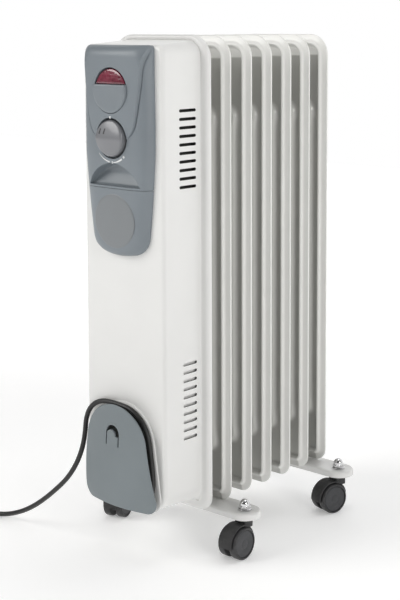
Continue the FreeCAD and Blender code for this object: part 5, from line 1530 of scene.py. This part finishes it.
class MainsCord:
    """The free cord as one curve."""

    def __init__(self, wrap: CordWrap, sizes: CordSizes = CordSizes()) -> None:
        """Keep the wrap that the cord is wound on."""
        self.wrap = wrap
        self.sizes = sizes

    def lane(self, inset: float, side: int, low_z: float) -> list[Flat]:
        """Half a turn round the hub in a lane.

        Args:
            inset: Lane's inset from the wrap's edge.
            side: 1 up the right side, -1 down the left side.
            low_z: Height of the cord's middle at the foot.

        Returns:
            Points across and up, in the order the cord runs.
        """
        w, s = self.wrap.sizes, self.sizes
        start, end = self.wrap.flank(inset, s.bend, low_z)
        foot = corner((end[0] - s.bend * math.cos(math.radians(w.draft)), low_z + s.bend), s.bend, -90,
                      90 + w.draft, 5)
        straight = [(end[0] + (start[0] - end[0]) * share, end[1] + (start[1] - end[1]) * share)
                    for share in (0.33, 0.67)]
        up = foot + straight + corner((0, w.centre), w.arch - inset, w.draft, 90 - w.draft, 7)
        return up if side > 0 else [(-x, z) for x, z in reversed(up)]

    def wound(self) -> list[Point]:
        """Turn and a half on the hub, from the gland to the top of the wrap."""
        s = self.sizes
        x0, depth, low = s.exit
        first = self.lane(s.inner_lane, 1, low) + self.lane(s.inner_lane, -1, low)[1:]
        down = [(x, depth - s.down_forward * fade(s.down_from - z, *s.down_span) * (x < 0), z) for x, z in first]
        # the second pass lies in front of the gland, in place of the first lane's last points
        down = [(x, y, z) for x, y, z in down if not (-30 < x < 0 and z < low + 1 and y != depth)]
        passing = [(x, s.pass_depth - s.pass_dip * fade(x, -24, 0), low + s.pass_lift)
                   for x in spread(*s.pass_span, 5)]
        over = [(x, s.over_depth + s.over_return * fade(z, *s.over_span), z)
                for x, z in self.lane(s.outer_lane, 1, low + 0.3) if x > 22 or z > 150]
        return [s.exit, (x0 + s.gland_run, depth, low)] + down + passing + over[:-1]

    def coil(self) -> list[Point]:
        """Three turns and a bit on the floor, in two lanes and two layers."""
        s = self.sizes
        step = 360 / s.coil_steps
        draw = math.cos(math.pi / s.coil_steps)
        points = []
        for number in range(int((s.coil_end - 0.8 * step - s.coil_start) // step) + 1):
            angle = s.coil_start + step * number
            inner = fade(angle, *s.coil_in) - fade(angle, *s.coil_out)
            x, y = polar((s.coil_outer + (s.coil_inner - s.coil_outer) * inner) / draw, math.radians(angle))
            level = s.floor_lane + (s.top_lane - s.floor_lane) * fade(angle, *s.coil_up)
            points.append((s.coil_centre[0] + x, s.coil_centre[1] + y, level))
        return points

    def points(self) -> list[Point]:
        """The whole cord's control points."""
        s = self.sizes
        neck, heading = Vector(s.plug_neck), Vector(s.plug_heading)
        return self.wound() + list(s.route) + self.coil() + [tuple(neck - heading * back) for back in (18, 9, 0)]

    @staticmethod
    def length(piece: bpy.types.Object) -> float:
        """Length of the curve as it is drawn, in metres."""
        mesh = bpy.data.meshes.new_from_object(piece)
        total = sum((mesh.vertices[edge.vertices[0]].co - mesh.vertices[edge.vertices[1]].co).length
                    for edge in mesh.edges)
        bpy.data.meshes.remove(mesh)
        return total

    def build(self) -> None:
        """Make the cord and its plug."""
        s = self.sizes
        curve = bpy.data.curves.new("mains_cord_curve", "CURVE")
        curve.dimensions = "3D"
        spline = curve.splines.new("NURBS")
        laid = self.points()
        spline.points.add(len(laid) - 1)
        for knot, point in zip(spline.points, laid):
            knot.co = (point[0] * MM, point[1] * MM, point[2] * MM, 1.0)
        spline.order_u = 3
        spline.use_endpoint_u = True
        curve.resolution_u = 6
        piece = linked("mains_cord_line", curve)
        length = self.length(piece)
        LOG.info("cord length %.4f m", length)
        curve.bevel_depth = s.radius * MM
        curve.bevel_resolution = 5
        curve.use_fill_caps = True
        curve.materials.append(CORD_BLACK.material())
        fit(piece, "heater", "cord_black", "cord_on_wrap", "mains_cord", "cord_coil")
        plug = self.plug()
        [value * MM for value in s.exit]

    def plug(self) -> bpy.types.Object:
        """Round moulded plug with a ribbed neck, its face as the pins need it."""
        p = PlugSizes()
        profile = list(p.neck)
        for number in range(p.rib_count):
            radius, height = (foot + step * number for foot, step in zip(p.rib_foot, p.rib_step))
            profile += [(radius + out, height + up) for out, up in p.rib]
        skin = Skin()
        skin.revolve(profile + list(p.body), 64)
        tilt, turn = math.radians(p.tilt), math.radians(p.turn)
        axis = Vector((math.cos(tilt) * math.cos(turn), math.cos(tilt) * math.sin(turn), math.sin(tilt)))
        side = Vector((-math.sin(turn), math.cos(turn), 0))
        spin = Matrix((side, axis.cross(side), axis)).transposed().to_4x4()
        foot = p.radius * math.cos(tilt) - p.rest * math.sin(tilt)
        skin.moved(Matrix.Translation((*p.place, foot)) @ spin)
        return fit(skin.piece("moulded_plug", BLACK_PLASTIC, sharp=40), "heater", "black_plastic", "plug_body")


# ---------------------------------------------------------------- feet
@dataclass(frozen=True)
class FootSizes:
    """Sheet steel brackets with cap nuts."""

    reach: float = 125.2
    width: float = 40.0
    top: float = 55.8
    flange: float = 48.0
    sheet: float = 2.0
    edge: float = 2.6
    crown: tuple[Flat, ...] = ((7.0, 0.5), (5.6, 0.12))
    stem_x: float = 105.2
    washer_height: float = 1.4
    washer: tuple[Flat, ...] = ((AXIS, 0.0), (7.9, 0.0), (8.2, 0.3), (8.2, 1.0), (7.9, 1.4), (AXIS, 1.4))
    nut_flats: float = 13.0
    nut_height: float = 5.2
    dome: float = 6.3
    dome_foot: Flat = (-0.3, 1.2)
    dome_middle: float = 1.6
    dome_share: float = 0.98


class Feet:
    """Both foot brackets and the nuts on them."""

    def __init__(self, sizes: FootSizes = FootSizes()) -> None:
        """Keep the sizes."""
        self.sizes = sizes

    def bracket(self, node: str) -> bpy.types.Object:
        """Channel with round ends and a soft upper edge."""
        s = self.sizes
        middle = Extent.of(node).middle(1)
        skin = Skin()

        def ring(inset: float, z: float) -> list[Point]:
            """Outline at a height."""
            return [(x, middle + y, z) for x, y in stadium(s.reach - inset, s.width / 2 - inset, 20)]
        turned = [(s.edge * (1 - math.sin(turn)), s.edge * (1 - math.cos(turn)))
                  for turn in spread(0, math.pi / 2, 6)]
        rings = skin.loft([ring(inset, s.top - drop) for inset, drop in [*s.crown, *turned]]
                          + [ring(0, s.flange + 1), ring(0, s.flange)])
        skin.fill(rings[0])
        piece = skin.piece(node + "_channel", COVER_ENAMEL, sharp=60)
        thicken(piece, s.sheet)
        return fit(piece, "heater", "cover_enamel", node)

    def nut(self, x: float, y: float) -> Skin:
        """Domed cap nut on a plain washer."""
        s = self.sizes
        skin = Skin()
        skin.revolve([(radius, s.top + up) for radius, up in s.washer])
        low, high = s.top + s.washer_height, s.top + s.nut_height
        widest = s.nut_flats / math.sqrt(3)
        rings = []
        for z, share in ((low, 0.93), (low + 0.6, 1.0), (high - 0.9, 1.0), (high, 0.9)):
            ring = []
            for angle in circle(48):
                around = (angle + math.pi / 6) % (math.pi / 3) - math.pi / 6
                ring.append((*polar(min(s.nut_flats / 2 / math.cos(around), widest * share), angle), z))
            rings.append(ring)
        skin.capped(rings)
        dome = [polar(s.dome, turn) for turn in spread(0, math.pi / 2 - 0.002, 10)]
        skin.revolve([(s.dome, high + up) for up in s.dome_foot]
                     + [(radius, high + s.dome_middle + up * s.dome_share) for radius, up in dome])
        return skin.moved(Matrix.Translation((x, y, 0)))

    def build(self) -> None:
        """Make the brackets and the nuts."""
        nuts = Skin()
        for node in ("front_foot_bracket", "rear_foot_bracket"):
            self.bracket(node)
            for side in (-1, 1):
                nuts.join(self.nut(side * self.sizes.stem_x, Extent.of(node).middle(1)))
        fit(nuts.piece("cap_nuts", BRIGHT_CHROME, sharp=28), "heater", "bright_chrome", "caster_cap_nuts")


# ---------------------------------------------------------------- casters
@dataclass(frozen=True)
class CasterSizes:
    """Twin wheel caster with a hood over the wheels."""

    wheel_radius: float = 19.5
    wheel_width: float = 9.8
    spacing: float = 7.8
    rim: float = 2.6
    hood_radius: float = 22.7
    hood_wall: float = 1.9
    bared: float = 4.0
    hood_arc: Flat = (-6.0, 168.0)
    web_half: float = 2.9
    web_foot: float = 6.0
    web_arc: Flat = (6.0, 168.0)
    neck_top: float = 53.6
    neck_back: float = 14.0
    block_corner: float = 1.6
    block: tuple[Place, ...] = (
        (-7.0, 8.2, 8.0), (-1.2, 8.4, 8.2), (2.0, 8.2, 7.6), (3.4, 7.0, 6.4), (4.2, 5.6, 5.4))
    neck: tuple[Place, ...] = ((-0.6, 5.2, 5.0), (0.0, 4.7, 4.5))
    boss_radius: float = 6.6
    boss_gap: float = 0.4
    stem_inset: float = 20.0
    hole: float = 2.4


class Caster:
    """One caster at its resting turn about its stem."""

    def __init__(self, corner_name: str, sizes: CasterSizes = CasterSizes()) -> None:
        """Work out where the caster stands from its axle's and its stem's places.

        Args:
            corner_name: Such as front_left.
            sizes: Its sizes.
        """
        self.name = corner_name
        self.sizes = sizes
        self.axle = Extent.of("caster_%s_axle" % corner_name).centre()
        bracket = Extent.of(corner_name.split("_")[0] + "_foot_bracket")
        side = -1 if corner_name.endswith("left") else 1
        stem = Vector((side * (bracket.high[0] - sizes.stem_inset), bracket.middle(1), 0))
        trail = Vector((self.axle.x - stem.x, self.axle.y - stem.y, 0)).normalized()
        self.across = Vector((-trail.y, trail.x, 0))
        self.matrix = Matrix((self.across, -trail, Vector((0, 0, 1)))).transposed().to_4x4()
        self.matrix.translation = self.axle

    @staticmethod
    def sweep(skin: Skin, section: Sequence[Flat], start: float, end: float) -> None:
        """Sweep a closed section of (across, radius) round the axle, and close its ends.

        Angles run from the leading side, over the top, to the trailing side.
        """
        skin.capped([[(x, -r * math.cos(angle), r * math.sin(angle)) for x, r in section]
                     for angle in spread(math.radians(start), math.radians(end), 28)])

    def fork(self) -> None:
        """Hood, web, shoulder and the angular block under the bracket."""
        s = self.sizes
        skin = Skin()
        outer, inner = s.hood_radius, s.hood_radius - s.hood_wall
        reach = s.spacing / 2 + s.wheel_width - s.bared
        right = [(reach - 1.0, outer), (reach - 0.3, outer - 0.3), (reach, outer - 0.9), (reach, inner)]
        self.sweep(skin, [(-x, r) for x, r in reversed(right)] + right, *s.hood_arc)
        root = inner + s.boss_gap
        web = [(-s.web_half, s.web_foot), (-s.web_half, root), (s.web_half, root), (s.web_half, s.web_foot)]
        self.sweep(skin, web, *s.web_arc)
        top, r = s.neck_top - self.axle.z, s.block_corner
        rows = [(outer + up, x, y) for up, x, y in s.block] + [(top + up, x, y) for up, x, y in s.neck]
        ways = ((1, 1), (-1, 1), (-1, -1), (1, -1))
        skin.capped([[(x, y + s.neck_back, z) for turn, (way_x, way_y) in enumerate(ways)
                      for x, y in corner((way_x * (half_x - r), way_y * (half_y - r)), r, 90 * turn, 90, 4)]
                     for z, half_x, half_y in rows])
        end = s.spacing / 2 - s.boss_gap
        skin.loft([[(x, *polar(s.boss_radius, a)) for a in circle(32)] for x in (-end, end)])
        piece = skin.moved(self.matrix).piece("caster_hood_" + self.name, CASTER_BLACK, sharp=30)
        fit(piece, self.name + "_fork", "caster_black", "caster_%s_fork" % self.name)

    def wheel(self, side: str) -> None:
        """One wheel: a round tread, a raised rim and a flat disc set in a little."""
        s = self.sizes
        r, w, disc = s.wheel_radius, s.wheel_width, s.wheel_radius - s.rim
        skin = Skin()
        skin.revolve([
            (s.hole, w - 1.6), (s.hole, 0.6), (5.5, 0.6), (6.0, 0.2), (9.0, 0.2), (9.4, 1.6), (disc - 1, 1.6),
            (disc - 0.6, 0.3), (disc + 0.4, 0.0), (r - 1.2, 0.0), (r - 0.35, 0.35), (r, 1.2), (r, w - 1.5),
            (r - 0.25, w - 0.7), (r - 0.8, w - 0.2), (r - 1.4, w), (disc + 0.5, w), (disc + 0.1, w - 0.25),
            (disc, w - 0.6), (disc, w - 1.9), (disc - 0.7, w - 1.9)], 72)
        skin.revolve([
            (disc - 0.7, w - 1.9), (disc - 0.7, w - 0.9), (disc - 1.1, w - 0.55), (disc - 1.6, w - 0.5),
            (6.2, w - 0.5), (5.6, w - 0.65), (5.2, w - 0.5), (2.0, w - 0.42), (AXIS, w - 0.4)], 72, shade=1)
        skin.revolve([(s.hole, w - 1.6), (AXIS, w - 1.5)], 72)
        node = "caster_%s_wheel_%s" % (self.name, side)
        way = 1 if (Extent.of(node).centre() - self.axle).dot(self.across) > 0 else -1
        place = (self.matrix @ Matrix.Translation((way * s.spacing / 2, 0, 0))
                 @ Matrix.Rotation(way * math.pi / 2, 4, "Y"))
        piece = skin.moved(place).piece("wheel_%s_%s" % (self.name, side), WHEEL_BLACK, WHEEL_DISC, sharp=34)
        fit(piece, "%s_wheel_%s" % (self.name, side), "wheel_black", node)

    def build(self) -> None:
        """Make the caster."""
        self.fork()
        for side in ("left", "right"):
            self.wheel(side)


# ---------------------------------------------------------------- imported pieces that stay
STAYING = (
    (FIN_ENAMEL, ("upper_header_rings", "lower_header_rings", "header_end_caps")),
    # The back plate takes the near black painted shade of the cover's inside.
    (PAINTED_INSIDE_SHADE, ("housing_back_plate",)),
    (ZINC_STEEL, ("oil_filler_plug", "u_bolts", "wing_nuts", "housing_fasteners", "control_bracket", "caster_stems",
                  "thermostat_body", "thermal_cutout", *("caster_%s_axle" % name for name in CORNERS))),
    (PIN_BRASS, ("plug_pins", "element_flange")),
    (SEAL_RUBBER, ("element_gasket",)),
    (SHEATH_STEEL, ("heating_element", "thermostat_shaft")),
    (PHENOLIC, ("switch_body", "terminal_block")),
    (LAMP_GLASS, ("indicator_lamp",)),
    (BLACK_PLASTIC, ("cord_gland",)),
)


def dress_packed_pieces() -> None:
    """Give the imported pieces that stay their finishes."""
    for finish, nodes in STAYING:
        for node in nodes:
            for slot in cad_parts[node].material_slots:
                slot.material = finish.material()


# ---------------------------------------------------------------- studio
class Light(Enum):
    """Soft lights of the studio: place in metres, size, watts and warmth."""

    KEY = ((-2.2, -2.9, 2.4), 2.6, 88.0, (1.0, 0.99, 0.97))
    SIDE = ((3.9, -1.0, 1.7), 2.0, 55.0, (1.0, 0.99, 0.97))
    TOP = ((0.2, 0.4, 3.4), 2.4, 25.0, (1.0, 1.0, 1.0))


@dataclass(frozen=True)
class Studio:
    """Camera, floor, lights and background."""

    eye: Place = (1085.8, -1233.0, 651.6)
    yaw: float = 41.53
    pitch: float = 5.63
    roll: float = -0.227
    lens: float = 77.556
    sensor: float = 36.0
    shift: Flat = (0.0, -0.25)
    frame_size: tuple[int, int] = (400, 600)
    target: Place = (0.0, 0.0, 0.28)
    background: float = 0.93
    world_strength: float = 0.15
    floor_near: float = -9000.0
    floor_far: float = 6000.0
    floor_curve: float = 1500.0
    floor_top: float = 9000.0
    floor_half: float = 12000.0
    floor_tones: Flat = (0.86, 0.88)
    floor_glow: Flat = (0.27, 0.55)
    glow_span: Flat = (0.5, 1.7)
    screen_y: float = 3600.0
    screen_across: Flat = (-9000.0, 4500.0)
    screen_height: Flat = (-20.0, 6000.0)

    def camera(self) -> None:
        """Set the camera up."""
        a, e, roll = (math.radians(angle) for angle in (self.yaw, self.pitch, self.roll))
        back = Vector((math.sin(a) * math.cos(e), -math.cos(a) * math.cos(e), math.sin(e)))
        right = Vector((math.cos(a), math.sin(a), 0.0))
        up = back.cross(right)
        turned_right = right * math.cos(roll) + up * math.sin(roll)
        turned_up = up * math.cos(roll) - right * math.sin(roll)
        data = bpy.data.cameras.new("studio_camera")
        data.sensor_fit = "VERTICAL"
        data.sensor_height, data.lens = self.sensor, self.lens
        data.shift_x, data.shift_y = self.shift
        data.clip_start, data.clip_end = 0.05, 60.0
        camera = linked("studio_camera", data)
        camera.matrix_world = Matrix.Translation(Vector(self.eye) * MM) @ Matrix(
            (turned_right, turned_up, back)).transposed().to_4x4()
        scene = bpy.context.scene
        scene.camera = camera
        scene.render.resolution_x, scene.render.resolution_y = self.frame_size
        scene.view_settings.view_transform = "Standard"
        scene.view_settings.look = "None"

    def floor(self) -> None:
        """Pale floor that curves up far behind, brighter away from the heater, and a lit screen."""
        skin = Skin()
        profile = [(self.floor_near, 0.0), (-2000.0, 0.0), (1200.0, 0.0), (self.floor_far, 0.0)]
        profile += [(self.floor_far + self.floor_curve * math.sin(turn), self.floor_curve * (1 - math.cos(turn)))
                    for turn in spread(0.12, math.pi / 2, 10)]
        profile.append((self.floor_far + self.floor_curve, self.floor_top))
        skin.loft([[(x, y, z) for y, z in profile] for x in (-self.floor_half, self.floor_half)], closed=False)
        pale = Graph("floor_pale")
        across, depth, _ = pale.position()
        away = ((across * across + depth * depth) ** 0.5).between(*self.glow_span)
        floor = skin.piece("studio_floor", sharp=90)
        floor.data.materials.append(pale.surface({
            "Base Color": pale.mix(pale.noise(0.6), *(grey(tone) for tone in self.floor_tones)),
            "Roughness": 0.8, "Emission Strength": 1.0,
            "Emission Color": pale.mix(away, *(grey(tone) for tone in self.floor_glow))}))
        screen = Skin()
        screen.loft([[(x, self.screen_y, z) for x in self.screen_across] for z in self.screen_height], closed=False)
        glow = Graph("backdrop_glow")
        shine = glow.node("ShaderNodeEmission", {}, {"Color": grey(1.0), "Strength": 1.0})
        glow.node("ShaderNodeOutputMaterial", {}, {"Surface": shine.outputs[0]})
        backdrop = screen.piece("backdrop")
        backdrop.data.materials.append(glow.material)

    def lights(self) -> None:
        """Soft lights and the world's own light."""
        for light in Light:
            place, size, power, colour = light.value
            data = bpy.data.lights.new(light.name.lower() + "_light", "AREA")
            data.shape = "DISK"
            data.size, data.energy, data.color = size, power, colour
            lamp = linked(light.name.lower() + "_light", data)
            lamp.location = place
            lamp.rotation_euler = (Vector(self.target) - Vector(place)).to_track_quat("-Z", "Y").to_euler()
        world = bpy.data.worlds.new("studio_world")
        world.use_nodes = True
        shade = world.node_tree.nodes["Background"]
        shade.inputs["Color"].default_value = grey(self.background)
        shade.inputs["Strength"].default_value = self.world_strength
        bpy.context.scene.world = world

    def build(self) -> None:
        """Set the studio up."""
        self.camera()
        self.floor()
        self.lights()


def main() -> None:
    """Build every piece and the studio."""
    logging.basicConfig(level=logging.INFO, format="%(name)s %(message)s")
    Studio().build()
    wrap = CordWrap()
    MainsCord(wrap).build()
    wrap.build()
    Fins().build()
    Cover().build()
    panel = Panel()
    panel.build()
    Controls(panel).build()
    Feet().build()
    for name in CORNERS:
        Caster(name).build()
    dress_packed_pieces()


if __name__ == "__main__":
    main()
